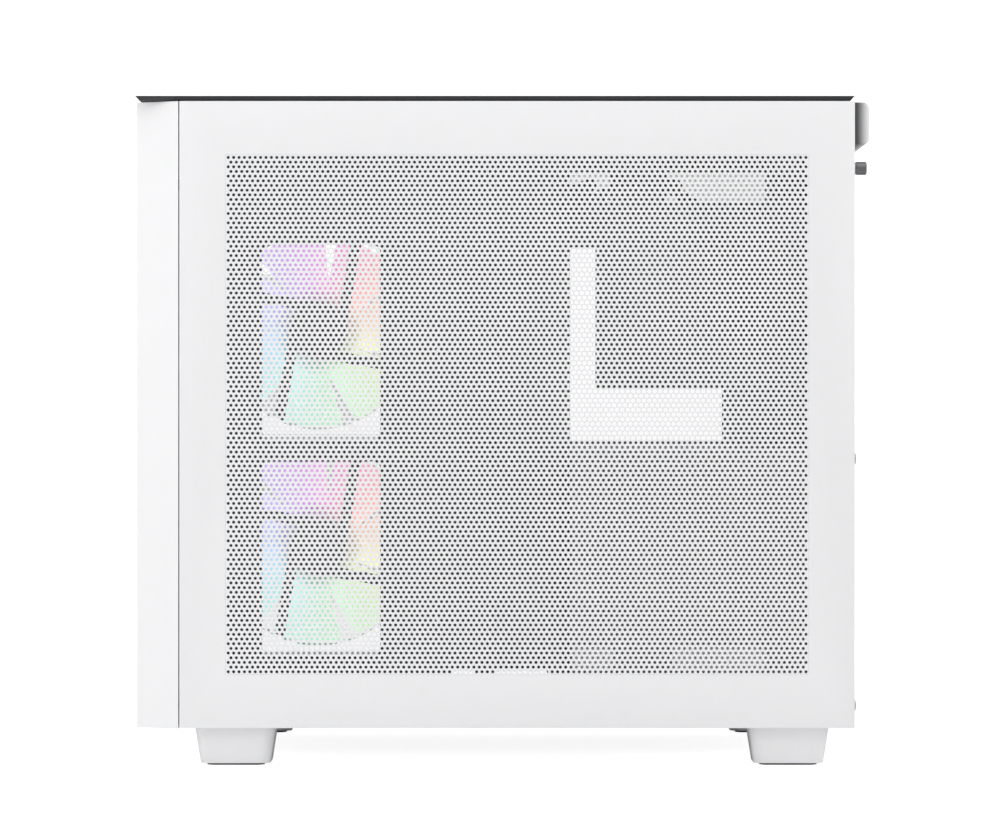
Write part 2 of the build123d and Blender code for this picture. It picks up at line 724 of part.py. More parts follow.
def supply_shell():
    """Power supply case: a steel box with its fan opening, rear vents and socket openings."""
    x = (supply_x, supply_x + supply_depth)
    y = (supply_front, supply_rear)
    z = (supply_z, supply_z + supply_height)
    w = supply_wall
    shell = block(x, y, z) - block((x[0] + w, x[1] - w), (y[0] + w, y[1] - w), (z[0] + w, z[1] - w))
    cuts = [rod((x[0] - 1, sum(y) / 2, sum(z) / 2), (1, 0, 0), supply_fan + 1.5, w + 2)]
    for u, v in staggered(24, 34, 7.0):
        cuts.append(rod((vent_x + u, y[1] - w - 1, vent_z + v), (0, 1, 0), 2.7, w + 2))
    back = (y[1] - w - 1, y[1] + 1)
    cuts.append(block((inlet_x - 14.3, inlet_x + 14.3), back, (inlet_z - 10.3, inlet_z + 10.3)))
    cuts.append(block((rocker_x - 6.8, rocker_x + 6.8), back, (inlet_z - 10.3, inlet_z + 10.3)))
    socket_room = (y[0] - 1, y[0] + w + 1)
    cuts.append(block((supply_x + 16, supply_x + 60), socket_room, (supply_z + 70, supply_z + 140)))
    for sx in supply_screw_x:
        for sz in supply_screw_z:
            cuts.append(rod((sx, y[1] - w - 1, sz), (0, 1, 0), 1.5, w + 2))
    return shell - cuts + supply_nameplate()


def supply_nameplate():
    """Blank plate on the supply's outer side."""
    y = supply_front + 63.0
    z = supply_z + 79.0
    high = supply_x + supply_depth
    plate = block((high, high + 0.6), (y - 28, y + 28), (z - 17, z + 17))
    return fillet(plate.edges().filter_by(Axis.X), 2)


def supply_labels():
    """Two blank labels low on the supply's outer side."""
    high = supply_x + supply_depth
    rise = (supply_z + 26, supply_z + 39)
    labels = []
    for low, end in label_spans:
        span = (supply_front + low, supply_front + end)
        labels.append(block((high, high + label_thickness), span, rise))
    return group(labels)


def supply_connector_board():
    """Socket strip on the supply's front that the three leads plug into."""
    rise = (supply_z + 69, supply_z + 141)
    return block((supply_x + 15, supply_x + 61), (supply_front - 3, supply_front), rise)


def supply_circuit():
    """Circuit board inside the supply, with its transformer, coils and cans."""
    low = supply_x + supply_depth - supply_wall - 8
    board = block((low, low + 2), (supply_front + 8, supply_rear - 26), (supply_z + 8, supply_z + 142))
    parts = [
        block((low - 34, low), (supply_front + 40, supply_front + 76), (supply_z + 50, supply_z + 90)),
        block((low - 32, low), (supply_front + 20, supply_front + 26), (supply_z + 20, supply_z + 120)),
        block((low - 32, low), (supply_front + 88, supply_front + 94), (supply_z + 20, supply_z + 120)),
    ]
    for z in (110, 128):
        parts.append(rod((low, supply_front + 60, supply_z + z), (-1, 0, 0), 8, 30))
    for z in (24, 38):
        parts.append(rod((low, supply_front + 110, supply_z + z), (-1, 0, 0), 6, 25))
    return fused(board, parts)


def supply_fan_mount():
    """Cross bracket and axle that carry the supply's fan behind its opening."""
    y = supply_front + supply_length / 2
    z = supply_z + supply_height / 2
    x = supply_x + supply_wall + 22
    bars = [
        block((x, x + 2), (y - 72, y + 72), (z - 4, z + 4)),
        block((x, x + 2), (y - 4, y + 4), (z - 74, z + 74)),
    ]
    cup = rod((x - 1, y, z), (1, 0, 0), 15, 3)
    axle = rod((x, y, z), (-1, 0, 0), axle_radius, 15)
    return fused(bars[0], [bars[1], cup, axle])


def supply_rotor():
    """Fan wheel of the supply; it turns about X."""
    plane = Plane(
        origin=(supply_x + supply_wall + 11, supply_front + supply_length / 2, supply_z + supply_height / 2),
        x_dir=(0, 1, 0),
        z_dir=(1, 0, 0),
    )
    return plane * rotor(supply_fan, 19, -8.5, 9.0, 9, -5)


def supply_inlet():
    """Mains inlet: a recess with three pins."""
    y = (supply_rear - 20, supply_rear)
    body = block((inlet_x - 14.2, inlet_x + 14.2), y, (inlet_z - 10.2, inlet_z + 10.2))
    recess = block((inlet_x - 12, inlet_x + 12), (y[1] - 15, y[1] + 1), (inlet_z - 8, inlet_z + 8))
    recess = chamfer(recess.edges().filter_by(Axis.Y).group_by(Axis.Z)[-1], 3)
    body = body - recess
    pins = [
        block((inlet_x + u - 1, inlet_x + u + 1), (y[1] - 16, y[1] - 2), (inlet_z + v - 2, inlet_z + v + 2))
        for u, v in ((-7, -2), (0, 2), (7, -2))
    ]
    return fused(body, pins)


def supply_switch_frame():
    """Frame of the mains rocker switch, with its pivot pin."""
    y = (supply_rear - 14, supply_rear)
    body = block((rocker_x - 6.7, rocker_x + 6.7), y, (inlet_z - 10.2, inlet_z + 10.2))
    room = block((rocker_x - 5.2, rocker_x + 5.2), (y[0] + 2, y[1] + 1), (inlet_z - 8.7, inlet_z + 8.7))
    return body - room + rod((rocker_x - 5.4, rocker_y, inlet_z), (1, 0, 0), 1.0, 10.8)


def supply_rocker():
    """Rocker of the mains switch, resting tilted to one side."""
    plan = [(-8.0, -1.5), (-8.0, 4.0), (0.0, 3.0), (8.0, 4.0), (8.0, -1.5), (0, -3.0)]
    face = make_face(Polyline(*[(y, z) for z, y in plan], close=True))
    body = Plane(origin=(-4.7, 0, 0), x_dir=(0, 1, 0), z_dir=(1, 0, 0)) * extrude(face, amount=9.4)
    body = body - rod((-6, 0, 0), (1, 0, 0), 1.0 + axle_clearance, 12)
    return Pos(rocker_x, rocker_y, inlet_z) * Rot(-rocker_tilt, 0, 0) * body


# ---- computer ----
def motherboard_pcb():
    """Main circuit board with its fixing holes and socket outline."""
    board = block((board_face, board_back), (board_front, board_rear), (board_bottom, board_top))
    holes = [rod((board_face - 1, y, z), (1, 0, 0), 1.9, 5) for y, z in board_holes]
    return board - holes


def board_standoffs():
    """Hexagonal spacers between the tray and the main board."""
    posts = []
    for y, z in board_holes:
        place = Plane(origin=(board_back, y, z), z_dir=(1, 0, 0))
        posts.append(place * extrude(RegularPolygon(3.0, 6), amount=standoff))
    return group(posts)


def board_screws():
    """Pan-head screws that hold the main board on its spacers."""
    screws = []
    for y, z in board_holes:
        head = rod((board_face, y, z), (-1, 0, 0), 3.0, 1.8)
        head = head - block((board_face - 2, board_face - 1), (y - 2, y + 2), (z - 0.4, z + 0.4))
        screws.append(head + rod((board_face, y, z), (1, 0, 0), 1.5, board_thickness - 0.05))
    return group(screws)


def processor_socket():
    """Socket and retention frame under the cooler."""
    frame = Pos(board_face - 2, socket_y, socket_height) * Box(4, 60, 72)
    return chamfer(frame.edges().filter_by(Axis.X), 3)


def cooler_base():
    """Cold plate and the bent pipes that carry heat out to the fins."""
    low = board_face - 4
    bend_x = low - 8
    plate = block((low - 12, low), (socket_y - 20, socket_y + 20), (socket_height - 22, socket_height + 22))
    pipes = []
    for y in pipe_rows:
        for z in (-pipe_spread, pipe_spread):
            corner = (bend_x, socket_y + y, socket_height + z)
            run = rod(corner, (-1, 0, 0), pipe_radius, bend_x - fin_x[0] - 4)
            up = (0, 0, math.copysign(1, z))
            cross = rod((bend_x, socket_y + y, socket_height), up, pipe_radius, abs(z))
            pipes += [run, cross, Pos(*corner) * Sphere(pipe_radius)]
    return fused(plate, pipes)


def cooler_fins():
    """Stack of thin plates with the pipes' holes through them."""
    count = int(fin_reach / fin_pitch)
    plan = Pos(0.25, socket_y, socket_height) * Box(0.5, fin_depth, 116)
    plan = chamfer(plan.edges().filter_by(Axis.X), 5)
    holes = [
        rod((-1, socket_y + y, socket_height + z), (1, 0, 0), pipe_radius + axle_clearance, 3)
        for y in pipe_rows
        for z in (-pipe_spread, pipe_spread)
    ]
    fin = plan - holes
    return group([Pos(fin_x[1] - 0.5 - fin_pitch * index, 0, 0) * fin for index in range(count)])


def memory_slots():
    """Four memory sockets along the board's front edge."""
    slots = []
    for index in range(4):
        y = board_front + 16 + 10 * index
        body = block((board_face - 8, board_face), (y, y + 7), (board_top - 156, board_top - 12))
        rise = (board_top - 151, board_top - 17)
        groove = block((board_face - 9, board_face - 2), (y + 2.6, y + 4.4), rise)
        slots.append(body - groove)
    return group(slots)


def memory_modules():
    """Two memory sticks with heat spreaders, in the second and fourth sockets."""
    sticks = []
    for index in (1, 3):
        y = board_front + 16 + 10 * index + 3.5
        rise = (board_top - 150.5, board_top - 17.5)
        card = block((board_face - 30, board_face - 2.2), (y - 0.7, y + 0.7), rise)
        tall = (rise[0] - 0.5, rise[1] + 0.5)
        spreader = block((board_face - 42, board_face - 9), (y - 3.2, y + 3.2), tall)
        spreader = chamfer(spreader.faces().sort_by(Axis.X)[0].edges(), 1.5)
        sticks.append(card + spreader)
    return group(sticks)


def power_heatsinks():
    """Finned blocks over the voltage regulators, above and behind the socket."""
    top_z_span = (board_top - 22, board_top - 5)
    top = block((board_face - 24, board_face), (socket_y - 42, socket_y + 36), top_z_span)
    side_z = (socket_height - 40, socket_height + 46)
    side = block((board_face - 28, board_face), (board_rear - 68, board_rear - 50), side_z)
    cuts = []
    for index in range(9):
        y = socket_y - 38 + 8 * index
        cuts.append(block((board_face - 30, board_face - 6), (y, y + 2.5), (board_top - 30, board_top)))
    for index in range(8):
        z = socket_height - 32 + 10 * index
        across = (board_rear - 72, board_rear - 46)
        cuts.append(block((board_face - 34, board_face - 8), across, (z, z + 2.5)))
    return group([top - cuts, side - cuts])


def board_plate(height, y, z, edge):
    """Flat heat spreader on the main board with bevelled outer edges, y and z from the board's corner."""
    span = (board_front + y[0], board_front + y[1])
    rise = (board_bottom + z[0], board_bottom + z[1])
    plate = block((board_face - height, board_face), span, rise)
    return chamfer(plate.faces().sort_by(Axis.X)[0].edges(), edge)


def chipset_heatsink():
    """Flat plates over the chipset and the two slim drives."""
    chip = board_plate(9, (12, 62), (16, 62), 2)
    upper_drive = board_plate(7, (76, 172), (92, 114), 1.5)
    lower_drive = board_plate(7, (72, 168), (28, 50), 1.5)
    return group([chip, upper_drive, lower_drive])


def card_sockets():
    """Long expansion sockets of the main board."""
    sockets = []
    for z, length in ((card_slot_height, 89), (card_slot_height - 3 * slot_pitch, 89)):
        run = (board_rear - 52 - length, board_rear - 52)
        body = block((board_face - 11, board_face), run, (z - 3.7, z + 3.7))
        span = (board_rear - 50 - length, board_rear - 54)
        slot = block((board_face - 12, board_face - 3), span, (z - 1.0, z + 1.0))
        sockets.append(body - slot)
    return group(sockets)


def power_headers():
    """Board sockets that the main and processor power leads plug into."""
    main = block((board_face - 12, board_face), (board_front + 2, board_front + 12), main_header_z)
    processor = block((board_face - 12, board_face), processor_header_y, (board_top - 12, board_top - 2))
    return group([main, processor])


def rear_ports():
    """Metal port shells that reach through the rear wall."""
    y = (board_rear - 16, rear - 0.2)
    shells = []
    for index, low in enumerate((2, 28, 48, 70, 90, 112, 132)):
        reach = 18 if index % 3 else 26
        z = (io_z[0] + low, io_z[0] + low + 16)
        shell = block((board_face - reach, board_face - 0.4), y, z)
        rooms = []
        for row in range(2):
            start = board_face - reach + 1.2 + row * (reach - 2) / 2
            end = start + (reach - 2) / 2 - 1.6
            rooms.append(block((start, end), (y[1] - 8, y[1] + 1), (z[0] + 1.4, z[1] - 1.4)))
        shells.append(shell - rooms)
    return group(shells)


def port_cover():
    """Moulded shroud over the rear ports."""
    x = (board_face - 34, board_face - 0.4)
    y = (board_rear - 46, board_rear - 1)
    cover = block(x, y, (io_z[0] - 1, io_z[1] - 1))
    room = block((x[0] + 2, x[1] + 1), (board_rear - 44, board_rear + 2), (io_z[0] + 1, io_z[1] - 3))
    cover = chamfer(cover.edges().filter_by(Axis.Z).group_by(Axis.X)[0].sort_by(Axis.Y)[0], 8)
    return cover - room


def port_shield():
    """Thin plate that closes the rear port opening around the ports."""
    plate = block((io_x[0] - 2, io_x[1] + 1), (inner_rear - 0.8, inner_rear), (io_z[0] - 2, io_z[1] + 2))
    through = (inner_rear - 2, inner_rear + 1)
    window = block((board_face - 27, board_face), through, (io_z[0] + 1.5, io_z[1] - 4))
    return plate - window


def graphics_board():
    """Card's circuit board, seated in the upper expansion socket."""
    y = (board_rear - 4 - card_length, board_rear - 4)
    high = board_face - 12
    board = block((high - card_width, high), y, (card_slot_height - 0.8, card_slot_height + 0.8))
    edge = block(
        (high, board_face - 4),
        (board_rear - 139, board_rear - 56),
        (card_slot_height - 0.8, card_slot_height + 0.8),
    )
    return board + edge


def graphics_shroud():
    """Card's cooler housing, open above, with two round fan openings below."""
    shell = block(card_x, card_y, card_z)
    shell = chamfer(shell.edges().filter_by(Axis.Z), 8)
    rise = (card_z[0] + 2, card_z[1] + 1)
    room = block((card_x[0] + 2, card_x[1] - 2), (card_y[0] + 2, card_y[1] - 2), rise)
    room = chamfer(room.edges().filter_by(Axis.Z), 7)
    shell = shell - room
    for y in card_fan_y:
        shell = shell - rod((card_fan_x, y, card_z[0] - 1), (0, 0, 1), card_fan + 1.5, 4)
    vents = []
    for index in range(7):
        y = card_y[0] + 40 + 20 * index
        vents.append(block((card_x[0] - 1, card_x[0] + 3), (y, y + 12), (card_z[1] - 12, card_z[1] - 5)))
    return shell - vents


def graphics_heatsink():
    """Card's fin block and the two fan stators under it."""
    low = card_z[0] + 19
    rise = (low, card_slot_height - 0.8)
    core = block((card_x[0] + 4, card_x[1] - 4), (card_y[0] + 12, card_y[1] - 12), rise)
    cuts = []
    count = int((card_y[1] - card_y[0] - 30) / 6)
    for index in range(count):
        y = card_y[0] + 16 + 6 * index
        cuts.append(block((card_x[0], card_x[1]), (y, y + 3.6), (low - 1, card_slot_height - 6)))
    core = core - cuts
    for y in card_fan_y:
        core = core + rod((card_fan_x, y, low + 2), (0, 0, -1), 13, 4)
        core = core + rod((card_fan_x, y, low), (0, 0, -1), axle_radius, 13)
    return core


def graphics_rotor(y):
    """Fan wheel of the graphics card; it turns about Z."""
    return Pos(card_fan_x, y, card_z[0] + 8.2) * rotor(card_fan, 15, -6.5, 8.0, 9, -3)


def graphics_backplate():
    """Stiff plate on top of the card."""
    plate = block(
        (card_x[0], card_x[1] - 2),
        (card_y[0], card_y[1]),
        (card_slot_height + 2.4, card_slot_height + 3.9),
    )
    slots = []
    for index in range(6):
        x = card_x[0] + 14 + 12 * index
        rise = (card_slot_height, card_slot_height + 6)
        slots.append(block((x, x + 5), (card_y[0] + 14, card_y[0] + 60), rise))
    posts = [
        rod((x, y, card_slot_height + 0.8), (0, 0, 1), 2.5, 2)
        for x in (card_x[0] + 10, card_x[1] - 12)
        for y in (card_y[0] + 8, card_y[1] - 10)
    ]
    return fused(plate - slots, posts)


def graphics_bracket():
    """Card's rear bracket over two slot openings, with its port openings."""
    z = (slot_heights[1] - 8.8, slot_heights[0] + 8.8)
    plate = block((slot_x[0] - 3, slot_x[1] + 8), (inner_rear - 0.9, inner_rear), z)
    cuts = []
    through = (inner_rear - 2, inner_rear + 1)
    for index in range(3):
        x = slot_x[0] + 14 + 26 * index
        cuts.append(block((x, x + 18), through, (slot_heights[0] - 3.5, slot_heights[0] + 3.5)))
    for index in range(10):
        x = slot_x[0] + 8 + 9 * index
        cuts.append(block((x, x + 5), through, (slot_heights[1] - 5, slot_heights[1] + 5)))
    lug_z = (card_slot_height - 2.4, card_slot_height - 0.8)
    lug = block((slot_x[0] + 20, slot_x[1] - 20), (card_y[1] - 2, inner_rear - 0.9), lug_z)
    return (plate - cuts) + lug


def slot_covers():
    """Blank brackets over the two unused slot openings."""
    covers = []
    for z in slot_heights[2:]:
        rise = (z - 9.2, z + 9.2)
        covers.append(block((slot_x[0] - 3, slot_x[1] + 8), (inner_rear - 0.9, inner_rear), rise))
    return group(covers)


def rear_screws():
    """Screws of the power supply and the rear fan."""
    places = [(x, z) for x in supply_screw_x for z in supply_screw_z]
    places += [
        (rear_fan_x + u * fan_bolt / 2, rear_fan_z + v * fan_bolt / 2)
        for u in (-1, 1)
        for v in (-1, 1)
    ]
    screws = []
    for x, z in places:
        head = rod((x, rear, z), (0, 1, 0), 3.2, 1.8)
        head = head - block((x - 2.2, x + 2.2), (rear + 1, rear + 2), (z - 0.4, z + 0.4))
        head = head - block((x - 0.4, x + 0.4), (rear + 1, rear + 2), (z - 2.2, z + 2.2))
        screws.append(head + rod((x, rear, z), (0, -1, 0), 1.4, sheet + 0.1))
    return group(screws)


# ---- leads held inside ----
def lead(points, radius):
    """Round lead along straight runs joined by the widest arcs that fit."""
    vectors = [Vector(*point) for point in points]
    radii = []
    for before, at, after in zip(vectors, vectors[1:], vectors[2:]):
        turn = math.radians((at - before).get_angle(after - at))
        shorter = min((at - before).length, (after - at).length)
        radii.append(0.45 * shorter / math.tan(turn / 2))
    path = FilletPolyline(*points, radius=radii)
    start = Plane(origin=path @ 0, z_dir=path % 0)
    tube = sweep(start * Circle(radius), path=path)
    fill = tube.volume / (math.pi * radius**2 * path.length)
    print("lead radii", [round(r, 1) for r in radii], "length", round(path.length), "fill", round(fill, 4))
    return tube


processor_header = sum(processor_header_y) / 2
main_header = sum(main_header_z) / 2
main_lead = [
    (supply_x + 46, supply_front - 3, supply_z + 118),
    (supply_x + 46, supply_front - 30, supply_z + 118),
    (supply_x + 44, supply_front - 50, supply_z + 142),
    (supply_x + 42, supply_front - 51, supply_z + 178),
    (supply_x + 40, supply_front - 40, supply_z + 218),
    (supply_x + 36, supply_front - 22, supply_z + 258),
    (supply_x + 30, supply_front - 2, supply_z + 288),
    (supply_x + 12, supply_front + 13, supply_z + 301),
    (supply_x - 12, supply_front + 12, supply_z + 302),
    (supply_x - 26, supply_front - 2, supply_z + 297),
    (supply_x - 34, supply_front - 27, supply_z + 291),
    (supply_x - 36, supply_front - 50, supply_z + 283),
    (supply_x - 38, supply_front - 67, supply_z + 262),
    (supply_x - 52, board_front + 7, main_header + 40),
    (supply_x - 52, board_front + 7, main_header),
    (board_face - 12, board_front + 7, main_header),
]
processor_lead = [
    (supply_x + 24, supply_front - 3, supply_z + 130),
    (supply_x + 24, supply_front - 28, supply_z + 130),
    (supply_x + 23, supply_front - 42, supply_z + 156),
    (supply_x + 22, supply_front - 40, supply_z + 192),
    (supply_x + 21, supply_front - 26, supply_z + 236),
    (supply_x + 20, supply_front - 8, supply_z + 272),
    (supply_x + 19, supply_front + 12, supply_z + 294),
    (supply_x + 17, processor_header - 30, supply_z + 301),
    (supply_x - 58, processor_header - 30, supply_z + 301),
    (supply_x - 58, processor_header, board_top - 7),
    (board_face - 12, processor_header, board_top - 7),
]
card_lead = [
    (supply_x + 46, supply_front - 3, supply_z + 84),
    (supply_x + 46, supply_front - 30, supply_z + 84),
    (supply_x + 42, supply_front - 48, supply_z + 58),
    (supply_x + 32, supply_front - 51, supply_z + 28),
    (supply_x + 12, supply_front - 49, supply_z + 13),
    (supply_x - 12, supply_front - 46, supply_z + 11),
    (supply_x - 42, supply_front - 46, supply_z + 11),
    (supply_x - 78, supply_front - 46, supply_z + 14),
    (supply_x - 114, supply_front - 42, supply_z + 26),
    (supply_x - 141, supply_front - 34, supply_z + 44),
    (supply_x - 156, supply_front - 26, supply_z + 71),
    (card_x[0] - 30, supply_front - 22, supply_z + 103),
    (card_x[0], supply_front - 22, supply_z + 103),
]


# ---- writing the nodes ----
def build():
    """Every node by name."""
    nodes = {
        "floor_pan": floor_pan(),
        "rear_panel": rear_panel(),
        "top_frame": top_frame(),
        "motherboard_tray": motherboard_tray(),
        "front_column": front_column(),
        "feet": group([foot(x, y) for x, y in foot_places]),
        "foot_pads": group([foot_pad(x, y) for x, y in foot_places]),
        "mesh_panel": mesh_panel(),
        "side_glass": side_glass(),
        "side_glass_rails": side_glass_rails(),
        "front_glass": front_glass(),
        "front_glass_rails": front_glass_rails(),
        "top_panel": top_panel(),
        "top_panel_pegs": top_panel_pegs(),
        "top_filter": top_filter(),
        "top_pull_grip": top_pull_grip(),
        "bottom_filter": bottom_filter(),
        "thumbscrew": thumbscrew(),
        "power_button": button(power_radius, power_z, button_length),
        "reset_button": button(reset_radius, reset_z, reset_length),
        "front_circuit": front_circuit(),
        "front_ports": group([usb_ports(), audio_jack()]),
        "cable_cover": cable_cover(),
        "drive_tray": drive_tray(),
        "solid_state_drive": solid_state_drive(),
        "supply_shell": supply_shell(),
        "supply_labels": supply_labels(),
        "supply_circuit": group([supply_circuit(), supply_connector_board()]),
        "supply_fan_mount": supply_fan_mount(),
        "supply_rotor": supply_rotor(),
        "supply_inlet": supply_inlet(),
        "supply_switch_frame": supply_switch_frame(),
        "supply_rocker": supply_rocker(),
        "motherboard_pcb": motherboard_pcb(),
        "board_standoffs": board_standoffs(),
        "cooler_base": cooler_base(),
        "cooler_fins": cooler_fins(),
        "memory_modules": memory_modules(),
        "board_heatsinks": group([power_heatsinks(), chipset_heatsink()]),
        "board_sockets": group([processor_socket(), memory_slots(), card_sockets(), power_headers()]),
        "rear_ports": rear_ports(),
        "port_cover": port_cover(),
        "port_shield": port_shield(),
        "graphics_board": graphics_board(),
        "graphics_shroud": graphics_shroud(),
        "graphics_heatsink": graphics_heatsink(),
        "graphics_backplate": graphics_backplate(),
        "graphics_bracket": group([graphics_bracket(), slot_covers()]),
        "screws": group([board_screws(), rear_screws()]),
        "power_leads": group([lead(route, lead_radius) for route in (main_lead, processor_lead, card_lead)]),
    }
    fans = {
        "side_fan_upper": side_fan_planes[0],
        "side_fan_lower": side_fan_planes[1],
        "rear_fan": rear_fan_plane,
        "cooler_fan": cooler_fan_plane,
    }
    frame = fan_frame()
    wheel = case_rotor()
    for name, plane in fans.items():
        nodes[f"{name}_frame"] = plane * frame
        nodes[f"{name}_rotor"] = plane * wheel
    for name, y in zip(("front", "rear"), card_fan_y):
        nodes[f"graphics_{name}_rotor"] = graphics_rotor(y)
    return nodes


if __name__ == "__main__":
    os.makedirs("parts", exist_ok=True)
    for name, shape in build().items():
        export_step(shape, f"parts/{name}.step")
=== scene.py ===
"""Looks of the desktop computer tower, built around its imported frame.

The perforated side panel, the feet and the small parts on the main board are modelled here. Every other
piece is the frame's own, with its finish.
"""

import json
import logging
import math
from dataclasses import dataclass
from enum import Enum
from functools import cached_property
from typing import Callable, Mapping, Protocol, Sequence

import bpy
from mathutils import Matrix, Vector

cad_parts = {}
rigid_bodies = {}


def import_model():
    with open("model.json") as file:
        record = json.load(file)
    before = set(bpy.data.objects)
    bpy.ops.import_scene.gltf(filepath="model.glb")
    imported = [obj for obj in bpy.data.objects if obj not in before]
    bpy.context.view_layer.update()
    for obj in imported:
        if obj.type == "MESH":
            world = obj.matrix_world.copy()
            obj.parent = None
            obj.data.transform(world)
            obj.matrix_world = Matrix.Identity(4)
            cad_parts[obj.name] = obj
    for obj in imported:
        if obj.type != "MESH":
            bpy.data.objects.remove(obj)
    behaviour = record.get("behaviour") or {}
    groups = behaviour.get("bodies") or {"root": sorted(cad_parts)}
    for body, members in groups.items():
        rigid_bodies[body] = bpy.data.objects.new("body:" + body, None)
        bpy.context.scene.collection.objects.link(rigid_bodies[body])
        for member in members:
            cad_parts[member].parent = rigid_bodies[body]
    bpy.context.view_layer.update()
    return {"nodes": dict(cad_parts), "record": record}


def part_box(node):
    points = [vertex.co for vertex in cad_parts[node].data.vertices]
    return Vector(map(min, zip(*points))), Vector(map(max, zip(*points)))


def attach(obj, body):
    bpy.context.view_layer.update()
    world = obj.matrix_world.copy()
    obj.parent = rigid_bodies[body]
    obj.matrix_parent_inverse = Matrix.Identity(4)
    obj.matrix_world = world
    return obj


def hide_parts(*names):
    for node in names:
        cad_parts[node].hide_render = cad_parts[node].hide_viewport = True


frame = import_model()
LOG = logging.getLogger("tower")
MM = 0.001
SMOOTH_BELOW = math.radians(35)

Piece = bpy.types.Object
Material = bpy.types.Material
Tree = bpy.types.NodeTree
Node = bpy.types.Node
Socket = bpy.types.NodeSocket
Point = Sequence[float]
Place = tuple[float, float, float]
Colour = tuple[float, float, float]


class Side(Enum):
    """Direction that a face looks in."""

    RIGHT = (1, 0, 0)
    LEFT = (-1, 0, 0)
    FRONT = (0, -1, 0)
    BACK = (0, 1, 0)
    UP = (0, 0, 1)
    DOWN = (0, 0, -1)


ENDS = (Side.FRONT, Side.BACK)
TOP_AND_BOTTOM = (Side.UP, Side.DOWN)


# ---- modelling helpers ----
def only(piece: Piece) -> None:
    """Selects one object alone and makes it active.

    Args:
        piece: The object to select.
    """
    for other in bpy.context.view_layer.objects:
        other.select_set(other == piece)
    bpy.context.view_layer.objects.active = piece


def clear() -> None:
    """Deselects everything."""
    for other in bpy.context.view_layer.objects:
        other.select_set(False)


def settle(piece: Piece, name: str) -> Piece:
    """Names a piece and moves its place, turn and size into its mesh.

    Args:
        piece: The object to finish.
        name: Its name.

    Returns:
        The same object.
    """
    only(piece)
    bpy.ops.object.transform_apply(location=True, rotation=True, scale=True)
    piece.name = name
    piece.data.name = name
    return piece


def block(name: str, low: Point, high: Point) -> Piece:
    """Adds a box between two corners.

    Args:
        name: The piece's name.
        low: Lowest corner in metres.
        high: Highest corner in metres.

    Returns:
        The new object.
    """
    clear()
    centre = [(a + b) / 2 for a, b in zip(low, high)]
    bpy.ops.mesh.primitive_cube_add(size=1, location=centre)
    piece = bpy.context.object
    piece.scale = [b - a for a, b in zip(low, high)]
    return settle(piece, name)


def drum(name: str, centre: Point, radius: float, depth: float, along: Side, sides: int = 32) -> Piece:
    """Adds a cylinder.

    Args:
        name: The piece's name.
        centre: Middle of the cylinder.
        radius: Radius in metres.
        depth: Length in metres.
        along: Direction of its axis.
        sides: Number of sides.

    Returns:
        The new object.
    """
    clear()
    turn = Vector(along.value).to_track_quat("Z", "Y").to_euler()
    bpy.ops.mesh.primitive_cylinder_add(
        vertices=sides, radius=radius, depth=depth, location=centre, rotation=turn
    )
    return settle(bpy.context.object, name)


def modify(piece: Piece, kind: str, **values: object) -> Piece:
    """Adds a modifier, sets it and applies it.

    Args:
        piece: The object to change.
        kind: Type of the modifier.
        values: Its settings.

    Returns:
        The same object.
    """
    only(piece)
    modifier = piece.modifiers.new("step", kind)
    for key, value in values.items():
        setattr(modifier, key, value)
    bpy.ops.object.modifier_apply(modifier=modifier.name)
    return piece


def cut(piece: Piece, tool: Piece) -> None:
    """Takes a tool's shape out of a piece and removes the tool.

    Args:
        piece: The object to cut.
        tool: The closed object that cuts it.
    """
    modify(piece, "BOOLEAN", operation="DIFFERENCE", object=tool, solver="EXACT")
    bpy.data.objects.remove(tool)


def joined(name: str, pieces: Sequence[Piece]) -> Piece:
    """Joins pieces into one object.

    Args:
        name: The joined piece's name.
        pieces: The objects to join.

    Returns:
        The joined object.
    """
    clear()
    for piece in pieces:
        piece.select_set(True)
    bpy.context.view_layer.objects.active = pieces[0]
    bpy.ops.object.join()
    return settle(bpy.context.object, name)


def unpick(piece: Piece, kind: str) -> None:
    """Clears a mesh's selection and leaves it ready for picking parts of one kind.

    Args:
        piece: The object to edit.
        kind: FACE or EDGE.
    """
    only(piece)
    bpy.ops.object.mode_set(mode="EDIT")
    bpy.ops.mesh.select_mode(type=kind)
    bpy.ops.mesh.select_all(action="DESELECT")
    bpy.ops.object.mode_set(mode="OBJECT")


def pick_faces(piece: Piece, test: Callable[[bpy.types.MeshPolygon], bool]) -> None:
    """Selects the faces that a test accepts, and enters edit mode.

    Args:
        piece: The object to edit.
        test: Says whether a face is picked.
    """
    unpick(piece, "FACE")
    for face in piece.data.polygons:
        face.select = bool(test(face))
    bpy.ops.object.mode_set(mode="EDIT")


def pick_edges(piece: Piece, test: Callable[[Vector, Vector], bool]) -> None:
    """Selects the edges that a test accepts by their two ends, and enters edit mode.

    Args:
        piece: The object to edit.
        test: Says whether an edge is picked.
    """
    unpick(piece, "EDGE")
    points = piece.data.vertices
    for edge in piece.data.edges:
        edge.select = bool(test(*(points[index].co for index in edge.vertices)))
    bpy.ops.object.mode_set(mode="EDIT")


def drop_faces(piece: Piece, sides: Sequence[Side]) -> None:
    """Deletes the flat outer faces that look in the given directions.

    Args:
        piece: The object to open.
        sides: Directions of the faces.
    """
    pick_faces(piece, lambda face: any(face.normal.dot(Vector(side.value)) > 0.999 for side in sides))
    bpy.ops.mesh.delete(type="FACE")
    bpy.ops.object.mode_set(mode="OBJECT")


